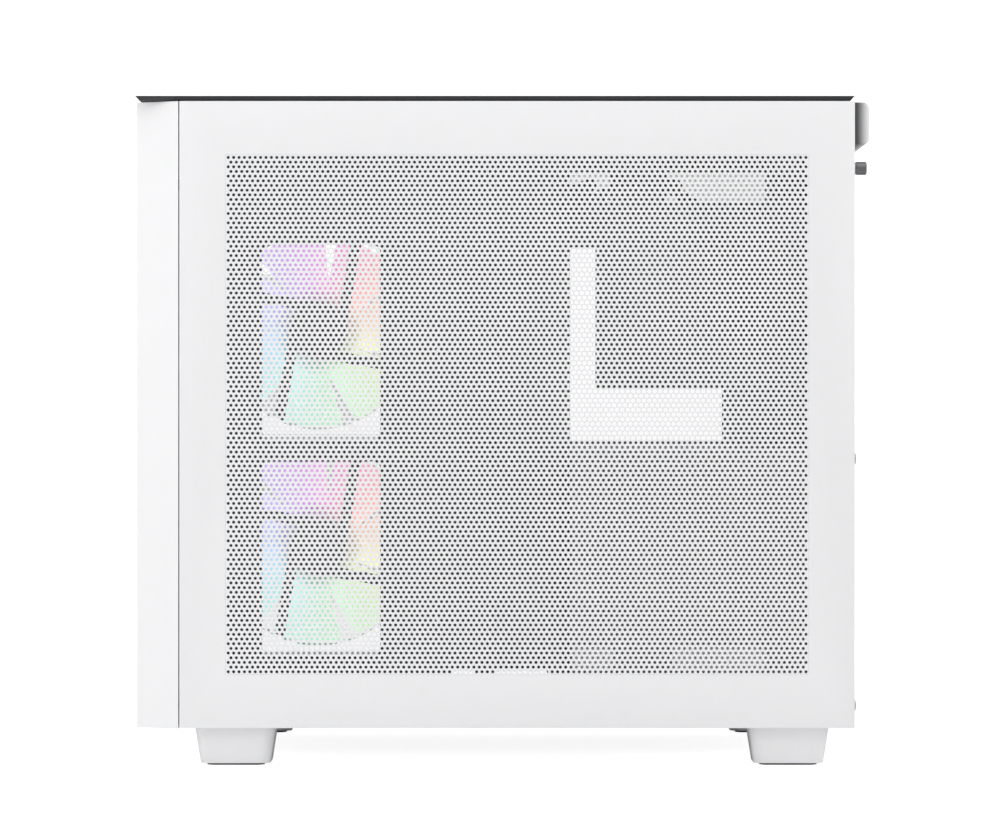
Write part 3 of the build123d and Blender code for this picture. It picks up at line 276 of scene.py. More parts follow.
def closed(piece: Piece, most_edges: int = 8) -> Piece:
    """Fills the small openings left where a repeated cell's border was open.

    Args:
        piece: The object to close.
        most_edges: Openings with more edges than this stay open.

    Returns:
        The same object.
    """
    only(piece)
    bpy.ops.object.mode_set(mode="EDIT")
    bpy.ops.mesh.select_all(action="SELECT")
    bpy.ops.mesh.fill_holes(sides=most_edges)
    bpy.ops.mesh.normals_make_consistent(inside=False)
    bpy.ops.object.mode_set(mode="OBJECT")
    return piece


def soften(piece: Piece, width: float, segments: int = 2, angle: float = 40) -> Piece:
    """Rounds a piece's sharp edges and shades it smooth.

    Args:
        piece: The object to round.
        width: Width of the rounding in metres.
        segments: Number of facets over it.
        angle: Edges sharper than this many degrees are rounded.

    Returns:
        The same object.
    """
    modify(
        piece, "BEVEL", width=width, segments=segments, limit_method="ANGLE",
        angle_limit=math.radians(angle), harden_normals=False,
    )
    only(piece)
    bpy.ops.object.shade_smooth_by_angle(angle=SMOOTH_BELOW)
    return piece


def repeated(piece: Piece, count: int, step: Point, merge: float = 0.0) -> Piece:
    """Repeats a piece in a row.

    Args:
        piece: The object to repeat.
        count: Number of copies with the first.
        step: Distance from one to the next.
        merge: Points nearer than this are joined, or 0 for none.

    Returns:
        The same object.
    """
    return modify(
        piece, "ARRAY", count=count, use_relative_offset=False, use_constant_offset=True,
        constant_offset_displace=tuple(step), use_merge_vertices=merge > 0, merge_threshold=max(merge, 1e-6),
    )


# ---- shader helpers ----
def linear(red: float, green: float, blue: float) -> tuple[float, float, float, float]:
    """Turns a display colour from 0 to 1 into a scene colour.

    Args:
        red: Red part.
        green: Green part.
        blue: Blue part.

    Returns:
        The colour as Blender's sockets take it.
    """
    parts = [c / 12.92 if c <= 0.04045 else ((c + 0.055) / 1.055) ** 2.4 for c in (red, green, blue)]
    return (*parts, 1.0)


def feed(tree: Tree, socket: Socket, value: object) -> None:
    """Links an input to an output, or sets it to a plain value.

    Args:
        tree: Tree that holds the input.
        socket: The input.
        value: Output socket, number, colour or vector.
    """
    if isinstance(value, Socket):
        tree.links.new(value, socket)
    else:
        socket.default_value = value


def compute(tree: Tree, operation: str, first: object, second: object) -> Socket:
    """Adds a Math node.

    Args:
        tree: Tree to add it to.
        operation: Its operation.
        first: Socket or number for its first input.
        second: Socket or number for its second input.

    Returns:
        The result's socket.
    """
    node = tree.nodes.new("ShaderNodeMath")
    node.operation = operation
    feed(tree, node.inputs[0], first)
    feed(tree, node.inputs[1], second)
    return node.outputs["Value"]


def blend(tree: Tree, share: object, first: object, second: object, kind: str = "MIX") -> Socket:
    """Adds a node that mixes two colours.

    Args:
        tree: Tree to add it to.
        share: How much of the second colour shows.
        first: The first colour.
        second: The second colour.
        kind: The way of mixing.

    Returns:
        The mixed colour's socket.
    """
    node = tree.nodes.new("ShaderNodeMix")
    node.data_type = "RGBA"
    node.blend_type = kind
    for label, value in (("Factor", share), ("A", first), ("B", second)):
        feed(tree, node.inputs[label], value)
    return node.outputs["Result"]


def noise(tree: Tree, vector: Socket, scale: object, detail: float = 2.0) -> Socket:
    """Adds a noise texture.

    Args:
        tree: Tree to add it to.
        vector: The coordinates it reads.
        scale: Its scale.
        detail: Its detail.

    Returns:
        The socket of its value.
    """
    node = tree.nodes.new("ShaderNodeTexNoise")
    node.inputs["Detail"].default_value = detail
    feed(tree, node.inputs["Scale"], scale)
    feed(tree, node.inputs["Vector"], vector)
    return node.outputs["Fac"]


def bump(tree: Tree, height: Socket, distance: float, strength: object) -> Socket:
    """Adds a relief.

    Args:
        tree: Tree to add it to.
        height: The height that it follows.
        distance: Depth of the relief in metres.
        strength: Its strength.

    Returns:
        The socket of its normal.
    """
    node = tree.nodes.new("ShaderNodeBump")
    node.inputs["Distance"].default_value = distance
    feed(tree, node.inputs["Height"], height)
    feed(tree, node.inputs["Strength"], strength)
    return node.outputs["Normal"]


def vector_math(tree: Tree, operation: str, first: object, second: object = (0.0, 0.0, 0.0)) -> Node:
    """Adds a Vector Math node.

    Args:
        tree: Tree to add it to.
        operation: Its operation.
        first: Socket or vector for its first input.
        second: Socket or vector for its second input.

    Returns:
        The node.
    """
    node = tree.nodes.new("ShaderNodeVectorMath")
    node.operation = operation
    feed(tree, node.inputs[0], first)
    feed(tree, node.inputs[1], second)
    return node


def part_of(tree: Tree, vector: Socket, axis: str) -> Socket:
    """Takes one part out of a vector.

    Args:
        tree: Tree to add the node to.
        vector: The vector.
        axis: The part, X, Y or Z.

    Returns:
        The part's socket.
    """
    split = tree.nodes.new("ShaderNodeSeparateXYZ")
    feed(tree, split.inputs["Vector"], vector)
    return split.outputs[axis]


def coordinates(tree: Tree) -> Socket:
    """Adds the object's own coordinates.

    Args:
        tree: Tree to add them to.

    Returns:
        Their socket.
    """
    return tree.nodes.new("ShaderNodeTexCoord").outputs["Object"]


COLOUR_OUT = ("Color", "NodeSocketColor")
ROUGHNESS_OUT = ("Roughness", "NodeSocketFloat")
NORMAL_OUT = ("Normal", "NodeSocketVector")


class Effects:
    """Node groups that more than one finish uses, each built once."""

    @staticmethod
    def start(
        name: str, inputs: Sequence[tuple[str, str, object]], outputs: Sequence[tuple[str, str]]
    ) -> tuple[Tree, Node, Node]:
        """Makes an empty group with named sockets.

        Args:
            name: The group's name.
            inputs: Name, socket type and default of each input.
            outputs: Name and socket type of each output.

        Returns:
            The tree, its input node and its output node.
        """
        tree = bpy.data.node_groups.new(name, "ShaderNodeTree")
        for label, kind, default in inputs:
            socket = tree.interface.new_socket(label, in_out="INPUT", socket_type=kind)
            socket.default_value = default
        for label, kind in outputs:
            tree.interface.new_socket(label, in_out="OUTPUT", socket_type=kind)
        return tree, tree.nodes.new("NodeGroupInput"), tree.nodes.new("NodeGroupOutput")

    @cached_property
    def grain(self) -> Tree:
        """Fine moulded or sprayed texture, with a slight drift of colour and gloss and a trace of dust.

        Returns:
            The group.
        """
        inputs = (
            ("Color", "NodeSocketColor", (0.8, 0.8, 0.8, 1)),
            ("Drift", "NodeSocketFloat", 0.03),
            ("Dust", "NodeSocketFloat", 0.02),
            ("Gloss", "NodeSocketFloat", 0.5),
            ("Scale", "NodeSocketFloat", 1500.0),
            ("Depth", "NodeSocketFloat", 0.1),
        )
        tree, entry, leave = self.start("grain", inputs, (COLOUR_OUT, ROUGHNESS_OUT, NORMAL_OUT))
        place = coordinates(tree)
        fine = noise(tree, place, entry.outputs["Scale"], detail=3)
        relief = bump(tree, fine, 0.0002, entry.outputs["Depth"])
        feed(tree, leave.inputs["Normal"], relief)
        centred = compute(tree, "SUBTRACT", noise(tree, place, 9, detail=4), 0.5)
        shade = compute(tree, "MULTIPLY", centred, entry.outputs["Drift"])
        lift = compute(tree, "ADD", shade, 1.0)
        grey = tree.nodes.new("ShaderNodeCombineColor")
        for part in ("Red", "Green", "Blue"):
            feed(tree, grey.inputs[part], lift)
        tinted = blend(tree, 1.0, entry.outputs["Color"], grey.outputs["Color"], kind="MULTIPLY")
        facing = tree.nodes.new("ShaderNodeNewGeometry").outputs["Normal"]
        level = compute(tree, "MAXIMUM", part_of(tree, facing, "Z"), 0.0)
        settled = compute(tree, "MULTIPLY", level, noise(tree, place, 260))
        dust = compute(tree, "MULTIPLY", settled, entry.outputs["Dust"])
        feed(tree, leave.inputs["Color"], blend(tree, dust, tinted, (0.55, 0.53, 0.5, 1)))
        spread = compute(tree, "MULTIPLY", centred, 0.12)
        gloss = compute(tree, "ADD", spread, entry.outputs["Gloss"])
        feed(tree, leave.inputs["Roughness"], compute(tree, "ADD", gloss, dust))
        return tree

    @cached_property
    def brushed(self) -> Tree:
        """Straight fine lines of drawn or brushed metal.

        Returns:
            The group.
        """
        inputs = (
            ("Color", "NodeSocketColor", (0.7, 0.7, 0.7, 1)),
            ("Gloss", "NodeSocketFloat", 0.3),
            ("Stretch", "NodeSocketVector", (60, 900, 900)),
            ("Depth", "NodeSocketFloat", 0.15),
        )
        tree, entry, leave = self.start("brushed", inputs, (COLOUR_OUT, ROUGHNESS_OUT, NORMAL_OUT))
        pulled = vector_math(tree, "MULTIPLY", coordinates(tree), entry.outputs["Stretch"])
        lines = noise(tree, pulled.outputs["Vector"], 1.5, detail=4)
        relief = bump(tree, lines, 0.00015, entry.outputs["Depth"])
        feed(tree, leave.inputs["Normal"], relief)
        centred = compute(tree, "SUBTRACT", lines, 0.5)
        spread = compute(tree, "MULTIPLY", centred, 0.25)
        feed(tree, leave.inputs["Roughness"], compute(tree, "ADD", spread, entry.outputs["Gloss"]))
        dark = compute(tree, "MULTIPLY", lines, 0.18)
        feed(tree, leave.inputs["Color"], blend(tree, dark, entry.outputs["Color"], (0.25, 0.25, 0.26, 1)))
        return tree

    @cached_property
    def weave(self) -> Tree:
        """Two crossed sets of threads, for filter cloth and braided sleeves.

        Returns:
            The group.
        """
        inputs = (
            ("Color", "NodeSocketColor", (0.1, 0.1, 0.1, 1)),
            ("Gap Color", "NodeSocketColor", (0.01, 0.01, 0.01, 1)),
            ("Threads", "NodeSocketFloat", 900.0),
            ("Depth", "NodeSocketFloat", 0.6),
        )
        tree, entry, leave = self.start("weave", inputs, (COLOUR_OUT, NORMAL_OUT))
        place = coordinates(tree)
        waves = []
        for turn in (math.radians(45), math.radians(-45)):
            lay = tree.nodes.new("ShaderNodeMapping")
            lay.inputs["Rotation"].default_value = (turn, turn, turn)
            feed(tree, lay.inputs["Vector"], place)
            wave = tree.nodes.new("ShaderNodeTexWave")
            feed(tree, wave.inputs["Vector"], lay.outputs["Vector"])
            feed(tree, wave.inputs["Scale"], entry.outputs["Threads"])
            waves.append(wave.outputs["Fac"])
        high = compute(tree, "MAXIMUM", *waves)
        relief = bump(tree, high, 0.0004, entry.outputs["Depth"])
        feed(tree, leave.inputs["Normal"], relief)
        threads = blend(tree, high, entry.outputs["Gap Color"], entry.outputs["Color"])
        feed(tree, leave.inputs["Color"], threads)
        return tree

    @cached_property
    def rainbow(self) -> Tree:
        """Pastel colours that run round the Z axis of the vector given, for lit fan wheels.

        Returns:
            The group.
        """
        inputs = (("Vector", "NodeSocketVector", (0, 0, 0)),)
        tree, entry, leave = self.start("rainbow", inputs, (COLOUR_OUT,))
        across = part_of(tree, entry.outputs["Vector"], "X")
        along = part_of(tree, entry.outputs["Vector"], "Y")
        share = compute(tree, "DIVIDE", compute(tree, "ARCTAN2", along, across), 2 * math.pi)
        ramp = tree.nodes.new("ShaderNodeValToRGB")
        feed(tree, ramp.inputs["Fac"], compute(tree, "ADD", share, 0.5))
        stops = (
            (0.0, 0.66, 0.78, 0.97), (0.10, 0.66, 0.92, 0.97), (0.20, 0.66, 0.95, 0.86),
            (0.28, 0.68, 0.96, 0.73), (0.37, 0.80, 0.96, 0.68), (0.45, 0.96, 0.94, 0.68),
            (0.52, 0.98, 0.82, 0.68), (0.62, 0.98, 0.64, 0.63), (0.71, 0.93, 0.55, 0.82),
            (0.78, 0.84, 0.56, 0.93), (0.88, 0.74, 0.68, 0.96), (1.0, 0.66, 0.78, 0.97),
        )
        ramp.color_ramp.elements[0].color = linear(*stops[0][1:])
        ramp.color_ramp.elements[1].color = linear(*stops[-1][1:])
        for spot, *colour in stops[1:-1]:
            ramp.color_ramp.elements.new(spot).color = linear(*colour)
        feed(tree, leave.inputs["Color"], ramp.outputs["Color"])
        return tree


EFFECTS = Effects()


# ---- finishes ----
class Finish(Protocol):
    """Anything that builds a material under its own name."""

    name: str

    def material(self) -> Material:
        """Builds the finish's material."""


def blank(name: str) -> tuple[Material, Tree, Node]:
    """Makes a material with a Principled shader.

    Args:
        name: The material's name.

    Returns:
        The material, its tree and its shader.
    """
    material = bpy.data.materials.new(name)
    material.use_nodes = True
    tree = material.node_tree
    return material, tree, tree.nodes["Principled BSDF"]


def textured(tree: Tree, shader: Node, effect: Tree, values: Mapping[str, object]) -> Socket:
    """Adds an effect to a material and links its roughness and its normal to the shader.

    Args:
        tree: The material's tree.
        shader: Its shader.
        effect: The effect's group.
        values: Values of the group's inputs.

    Returns:
        The effect's colour.
    """
    group = tree.nodes.new("ShaderNodeGroup")
    group.node_tree = effect
    for label, value in values.items():
        group.inputs[label].default_value = value
    for label in ("Roughness", "Normal"):
        if label in group.outputs:
            feed(tree, shader.inputs[label], group.outputs[label])
    return group.outputs["Color"]


@dataclass(frozen=True)
class Coat:
    """Painted or moulded finish with a fine grain."""

    name: str
    colour: Colour
    gloss: float = 0.45
    scale: float = 1500.0
    depth: float = 0.12
    drift: float = 0.03
    dust: float = 0.03
    metallic: float = 0.0
    glow: float = 0.0

    def material(self) -> Material:
        """Builds the finish's material."""
        material, tree, shader = blank(self.name)
        values = {
            "Color": linear(*self.colour), "Drift": self.drift, "Dust": self.dust,
            "Gloss": self.gloss, "Scale": self.scale, "Depth": self.depth,
        }
        colour = textured(tree, shader, EFFECTS.grain, values)
        feed(tree, shader.inputs["Base Color"], colour)
        shader.inputs["Metallic"].default_value = self.metallic
        # Glow makes the surface emit its own colour: painted light on a part that is no lamp.
        if self.glow:
            feed(tree, shader.inputs["Emission Color"], colour)
            shader.inputs["Emission Strength"].default_value = self.glow
        return material


@dataclass(frozen=True)
class Metal:
    """Bare or plated metal with drawn lines."""

    name: str
    colour: Colour
    gloss: float = 0.3
    stretch: Place = (60, 900, 900)
    depth: float = 0.15

    def material(self) -> Material:
        """Builds the finish's material."""
        material, tree, shader = blank(self.name)
        values = {
            "Color": linear(*self.colour), "Gloss": self.gloss,
            "Stretch": self.stretch, "Depth": self.depth,
        }
        colour = textured(tree, shader, EFFECTS.brushed, values)
        feed(tree, shader.inputs["Base Color"], colour)
        shader.inputs["Metallic"].default_value = 1.0
        return material


@dataclass(frozen=True)
class Cloth:
    """Woven threads."""

    name: str
    colour: Colour
    gap: Colour
    threads: float = 900.0
    roughness: float = 0.8

    def material(self) -> Material:
        """Builds the finish's material."""
        material, tree, shader = blank(self.name)
        values = {
            "Color": linear(*self.colour), "Gap Color": linear(*self.gap), "Threads": self.threads,
        }
        feed(tree, shader.inputs["Base Color"], textured(tree, shader, EFFECTS.weave, values))
        shader.inputs["Roughness"].default_value = self.roughness
        return material


@dataclass(frozen=True)
class Pane:
    """Clear glass with faint smears."""

    name: str
    tint: Colour
    index: float = 1.45
    smear: float = 0.035

    def material(self) -> Material:
        """Builds the finish's material."""
        material, tree, shader = blank(self.name)
        shader.inputs["Base Color"].default_value = linear(*self.tint)
        shader.inputs["Transmission Weight"].default_value = 1.0
        shader.inputs["IOR"].default_value = self.index
        smears = noise(tree, coordinates(tree), 14)
        feed(tree, shader.inputs["Roughness"], compute(tree, "MULTIPLY", smears, self.smear))
        return material


@dataclass(frozen=True)
class Lit:
    """Frosted fan wheel lit from its hub in colours that run round it."""

    name: str
    centre: Place
    turn: Place
    strength: float = 0.9
    hub: float = 19.0 * MM
    blade_root: float = 26.0 * MM
    hub_glow: float = 0.06

    def material(self) -> Material:
        """Builds the finish's material."""
        material, tree, shader = blank(self.name)
        offset = vector_math(tree, "SUBTRACT", coordinates(tree), self.centre).outputs["Vector"]
        turn = tree.nodes.new("ShaderNodeMapping")
        turn.inputs["Rotation"].default_value = self.turn
        feed(tree, turn.inputs["Vector"], offset)
        colours = tree.nodes.new("ShaderNodeGroup")
        colours.node_tree = EFFECTS.rainbow
        feed(tree, colours.inputs["Vector"], turn.outputs["Vector"])
        fade = tree.nodes.new("ShaderNodeMapRange")
        fade.inputs["From Min"].default_value = self.hub
        fade.inputs["From Max"].default_value = self.blade_root
        fade.inputs["To Min"].default_value = self.hub_glow
        feed(tree, fade.inputs["Value"], vector_math(tree, "LENGTH", offset).outputs["Value"])
        shine = blend(tree, fade.outputs["Result"], (0, 0, 0, 1), colours.outputs["Color"])
        feed(tree, shader.inputs["Emission Color"], shine)
        shader.inputs["Emission Strength"].default_value = self.strength
        values = {"Color": linear(0.66, 0.66, 0.68), "Gloss": 0.4}
        feed(tree, shader.inputs["Base Color"], textured(tree, shader, EFFECTS.grain, values))
        return material


@dataclass(frozen=True)
class FanFrame:
    """White fan frame; the struts and hub cup inside the duct are painted dark as painted shade, and a side
    fan's rim glows on its strut side as painted light.
    """

    name: str
    centre: Place
    strength: float
    duct: float = 57.5 * MM
    strut_side: float = 11.5 * MM
    white: Colour = (0.93, 0.93, 0.94)
    dark: Colour = (0.3, 0.3, 0.31)

    def material(self) -> Material:
        """Builds the finish's material."""
        material, tree, shader = blank(self.name)
        offset = vector_math(tree, "SUBTRACT", coordinates(tree), self.centre).outputs["Vector"]
        reach = vector_math(tree, "LENGTH", offset).outputs["Value"]
        outer = compute(tree, "GREATER_THAN", reach, self.duct)
        values = {"Color": linear(*self.white), "Scale": 2400}
        white = textured(tree, shader, EFFECTS.grain, values)
        # Painted shade: everything inside the duct, struts and hub cup, takes the dark colour.
        feed(tree, shader.inputs["Base Color"], blend(tree, outer, linear(*self.dark), white))
        feed(tree, shader.inputs["Emission Color"], white)
        # Painted light: the frame outside the duct, on its strut side, glows in its own white.
        strut_face = compute(tree, "GREATER_THAN", part_of(tree, offset, "X"), self.strut_side)
        rim = compute(tree, "MULTIPLY", outer, strut_face)
        feed(tree, shader.inputs["Emission Strength"], compute(tree, "MULTIPLY", rim, self.strength))
        return material


@dataclass(frozen=True)
class LidPaintUndercutShade:
    """White paint, with painted shade on the lid's downward-facing undercut edge."""

    name: str = "lid_paint_undercut_shade"
    white: Colour = (0.945, 0.945, 0.95)
    dark: Colour = (0.2, 0.2, 0.21)
    slope: float = -0.3

    def material(self) -> Material:
        """Builds the finish's material."""
        material, tree, shader = blank(self.name)
        facing = tree.nodes.new("ShaderNodeNewGeometry").outputs["True Normal"]
        # Painted shade: faces that look downward, the undercut edge's shadow gap, take the dark colour.
        under = compute(tree, "LESS_THAN", part_of(tree, facing, "Z"), self.slope)
        values = {"Color": linear(*self.white), "Scale": 1800}
        white = textured(tree, shader, EFFECTS.grain, values)
        feed(tree, shader.inputs["Base Color"], blend(tree, under, white, linear(*self.dark)))
        return material


@dataclass(frozen=True)
class GripSkinPaintedShade:
    """Pale soft skin with painted shade that darkens it towards the grip's root."""

    name: str
    root: float
    tip: float
    pale: Colour = (0.93, 0.93, 0.935)
    dark: Colour = (0.28, 0.28, 0.285)

    def material(self) -> Material:
        """Builds the finish's material."""
        material, tree, shader = blank(self.name)
        ramp = tree.nodes.new("ShaderNodeMapRange")
        ramp.interpolation_type = "SMOOTHSTEP"
        ramp.inputs["From Min"].default_value = self.root
        ramp.inputs["From Max"].default_value = self.tip
        # Painted shade: the colour runs along Y from dark at the grip's root to pale at its tip.
        feed(tree, ramp.inputs["Value"], part_of(tree, coordinates(tree), "Y"))
        values = {"Color": linear(*self.pale), "Gloss": 0.6, "Scale": 900}
        pale = textured(tree, shader, EFFECTS.grain, values)
        feed(tree, shader.inputs["Base Color"], blend(tree, ramp.outputs["Result"], linear(*self.dark), pale))
        return material


@dataclass(frozen=True)
class CircuitBoard:
    """Dark solder mask with fine traces under it."""

    name: str = "circuit_board"
    mask: Colour = (0.12, 0.15, 0.15)
    trace: Colour = (0.19, 0.22, 0.22)
    gloss: float = 0.38

    def material(self) -> Material:
        """Builds the finish's material."""
        material, tree, shader = blank(self.name)
        traces = tree.nodes.new("ShaderNodeTexVoronoi")
        traces.distance = "MANHATTAN"
        traces.inputs["Scale"].default_value = 190
        feed(tree, traces.inputs["Vector"], coordinates(tree))
        ramp = tree.nodes.new("ShaderNodeValToRGB")
        for element, spot, colour in zip(ramp.color_ramp.elements, (0.42, 0.5), (self.mask, self.trace)):
            element.position = spot
            element.color = linear(*colour)
        feed(tree, ramp.inputs["Fac"], traces.outputs["Distance"])
        feed(tree, shader.inputs["Base Color"], ramp.outputs["Color"])
        feed(tree, shader.inputs["Normal"], bump(tree, traces.outputs["Distance"], 0.0001, 0.3))
        shader.inputs["Roughness"].default_value = self.gloss
        return material


FINISHES: tuple[Finish, ...] = (
    Coat("painted_steel", (0.945, 0.945, 0.95), gloss=0.5, scale=1800, depth=0.1),
    Coat("white_moulding", (0.95, 0.95, 0.955), gloss=0.42, scale=2600, depth=0.08),
    Coat("foot_moulding", (0.945, 0.945, 0.95), gloss=0.42, scale=2600, depth=0.08),
    Pane("clear_glass", (0.97, 0.985, 0.98)),
    Metal("dark_steel", (0.5, 0.5, 0.51), gloss=0.32, stretch=(700, 90, 700)),
    Coat("black_plastic", (0.13, 0.13, 0.135), gloss=0.5, scale=2200, depth=0.2, dust=0.12),
    Coat("pad_rubber", (0.14, 0.14, 0.14), gloss=0.75, scale=1200, depth=0.3),
    Cloth("filter_mesh", (0.36, 0.36, 0.37), (0.05, 0.05, 0.05), threads=1100),
    Coat("white_blades", (0.88, 0.88, 0.9), gloss=0.35, scale=2400, depth=0.06),
    Metal("plated_steel", (0.78, 0.78, 0.79), gloss=0.3, stretch=(500, 500, 70)),
    Metal("aluminium_fins", (0.86, 0.87, 0.88), gloss=0.28, stretch=(900, 60, 900)),
    Metal("nickel_pipes", (0.8, 0.78, 0.75), gloss=0.16, stretch=(90, 700, 700), depth=0.06),
    Coat("socket_plastic", (0.16, 0.16, 0.17), gloss=0.4, scale=2200, depth=0.12),
    Coat("white_heatsink", (0.9, 0.9, 0.915), gloss=0.34, scale=3000, depth=0.14, metallic=0.2),
    # Painted shade: the chamber's inner sheet is made dark grey to stand for the shade inside the chamber.
    Coat("inner_steel", (0.265, 0.265, 0.275), gloss=0.55, scale=1700, depth=0.12),
    Coat("pale_label", (0.9, 0.9, 0.9), gloss=0.5, scale=1400, depth=0.04),
    Coat("supply_steel", (0.55, 0.55, 0.56), gloss=0.5, scale=1500, depth=0.2),
    Coat("drive_case", (0.36, 0.36, 0.37), gloss=0.4, scale=1800, depth=0.15),
    Cloth("lead_sleeve", (0.36, 0.36, 0.37), (0.16, 0.16, 0.16), threads=420),
    # The cable cover glows as painted light, so it reads bright white behind the mesh.
    Coat("cover_moulding", (0.97, 0.97, 0.97), gloss=0.4, scale=2600, depth=0.06, glow=0.98),
    CircuitBoard(),
)


# Strength of the painted light on a side fan's rim.
SIDE_FAN_RIM_PAINTED_LIGHT = 0.95
# Share of the grip's length, from its root, that the painted shade covers.
GRIP_PAINTED_SHADE_SHARE = 0.35


class Wardrobe:
    """Gives each node of the frame its finish."""

    def __init__(self) -> None:
        """Builds every finish that more than one node may wear."""
        self.materials: dict[str, Material] = {finish.name: finish.material() for finish in FINISHES}

    def dress(self) -> None:
        """Puts the finishes on the frame's nodes."""
        for row in frame["record"]["subparts"]:
            finish = self.finish_for(row["node"], row["material_slot"])
            for holder in frame["nodes"][row["node"]].material_slots:
                holder.material = finish
            LOG.info("dressed %s in %s", row["node"], finish.name)

    def finish_for(self, node: str, slot: str) -> Material:
        """Chooses a node's finish, and builds it when it depends on the node's place.

        Args:
            node: The node.
            slot: Its slot in the record.

        Returns:
            Its material.
        """
        if slot == "glow_blades":
            return self.lit(node)
        if slot == "fan_frame_plastic":
            # Side fans' rims get painted light; other fan frames get none.
            strength = SIDE_FAN_RIM_PAINTED_LIGHT if node.startswith("side") else 0.0
            return FanFrame(f"{node}_plastic", self.middle(node), strength).material()
        if node == "top_panel":
            return LidPaintUndercutShade().material()
        if slot == "soft_grip":
            # Painted shade darkens the grip from its root over a share of its length.
            root = frame_edge("rear_panel", "y", high=True)
            tip = frame_edge(node, "y", high=True)
            return GripSkinPaintedShade("grip_skin_painted_shade", root + GRIP_PAINTED_SHADE_SHARE * (tip - root), tip).material()
        return self.materials[slot]

    @staticmethod
    def middle(node: str) -> Place:
        """Middle of a node's box.

        Args:
            node: The node.

        Returns:
            Its middle.
        """
        low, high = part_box(node)
        return tuple((low + high) / 2)

    @staticmethod
    def lit(node: str) -> Material:
        """Builds the lit finish of one fan wheel about its own centre.

        Args:
            node: The wheel's node.

        Returns:
            Its material.
        """
        centre = Wardrobe.middle(node)
        if node.startswith("side"):
            turn = (0.0, -math.pi / 2, -math.pi / 2)
        else:
            turn = (math.pi / 2, 0.0, 0.0)
        return Lit(f"{node}_glow", centre, turn).material()


def frame_edge(node: str, axis: str, high: bool) -> float:
    """Lowest or highest reach of a node along one axis.

    Args:
        node: The node.
        axis: The axis, x, y or z.
        high: True for its highest reach.

    Returns:
        The reach in metres.
    """
    low_corner, high_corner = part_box(node)
    return getattr(high_corner if high else low_corner, axis)


def wear(piece: Piece, finish: Material, body: str) -> None:
    """Gives a new piece its finish and the body it rides on.

    Args:
        piece: The new piece.
        finish: Its material.
        body: The body it rides on.
    """
    piece.data.materials.clear()
    piece.data.materials.append(finish)
    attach(piece, body)
    LOG.info("made %s with %d faces", piece.name, len(piece.data.polygons))


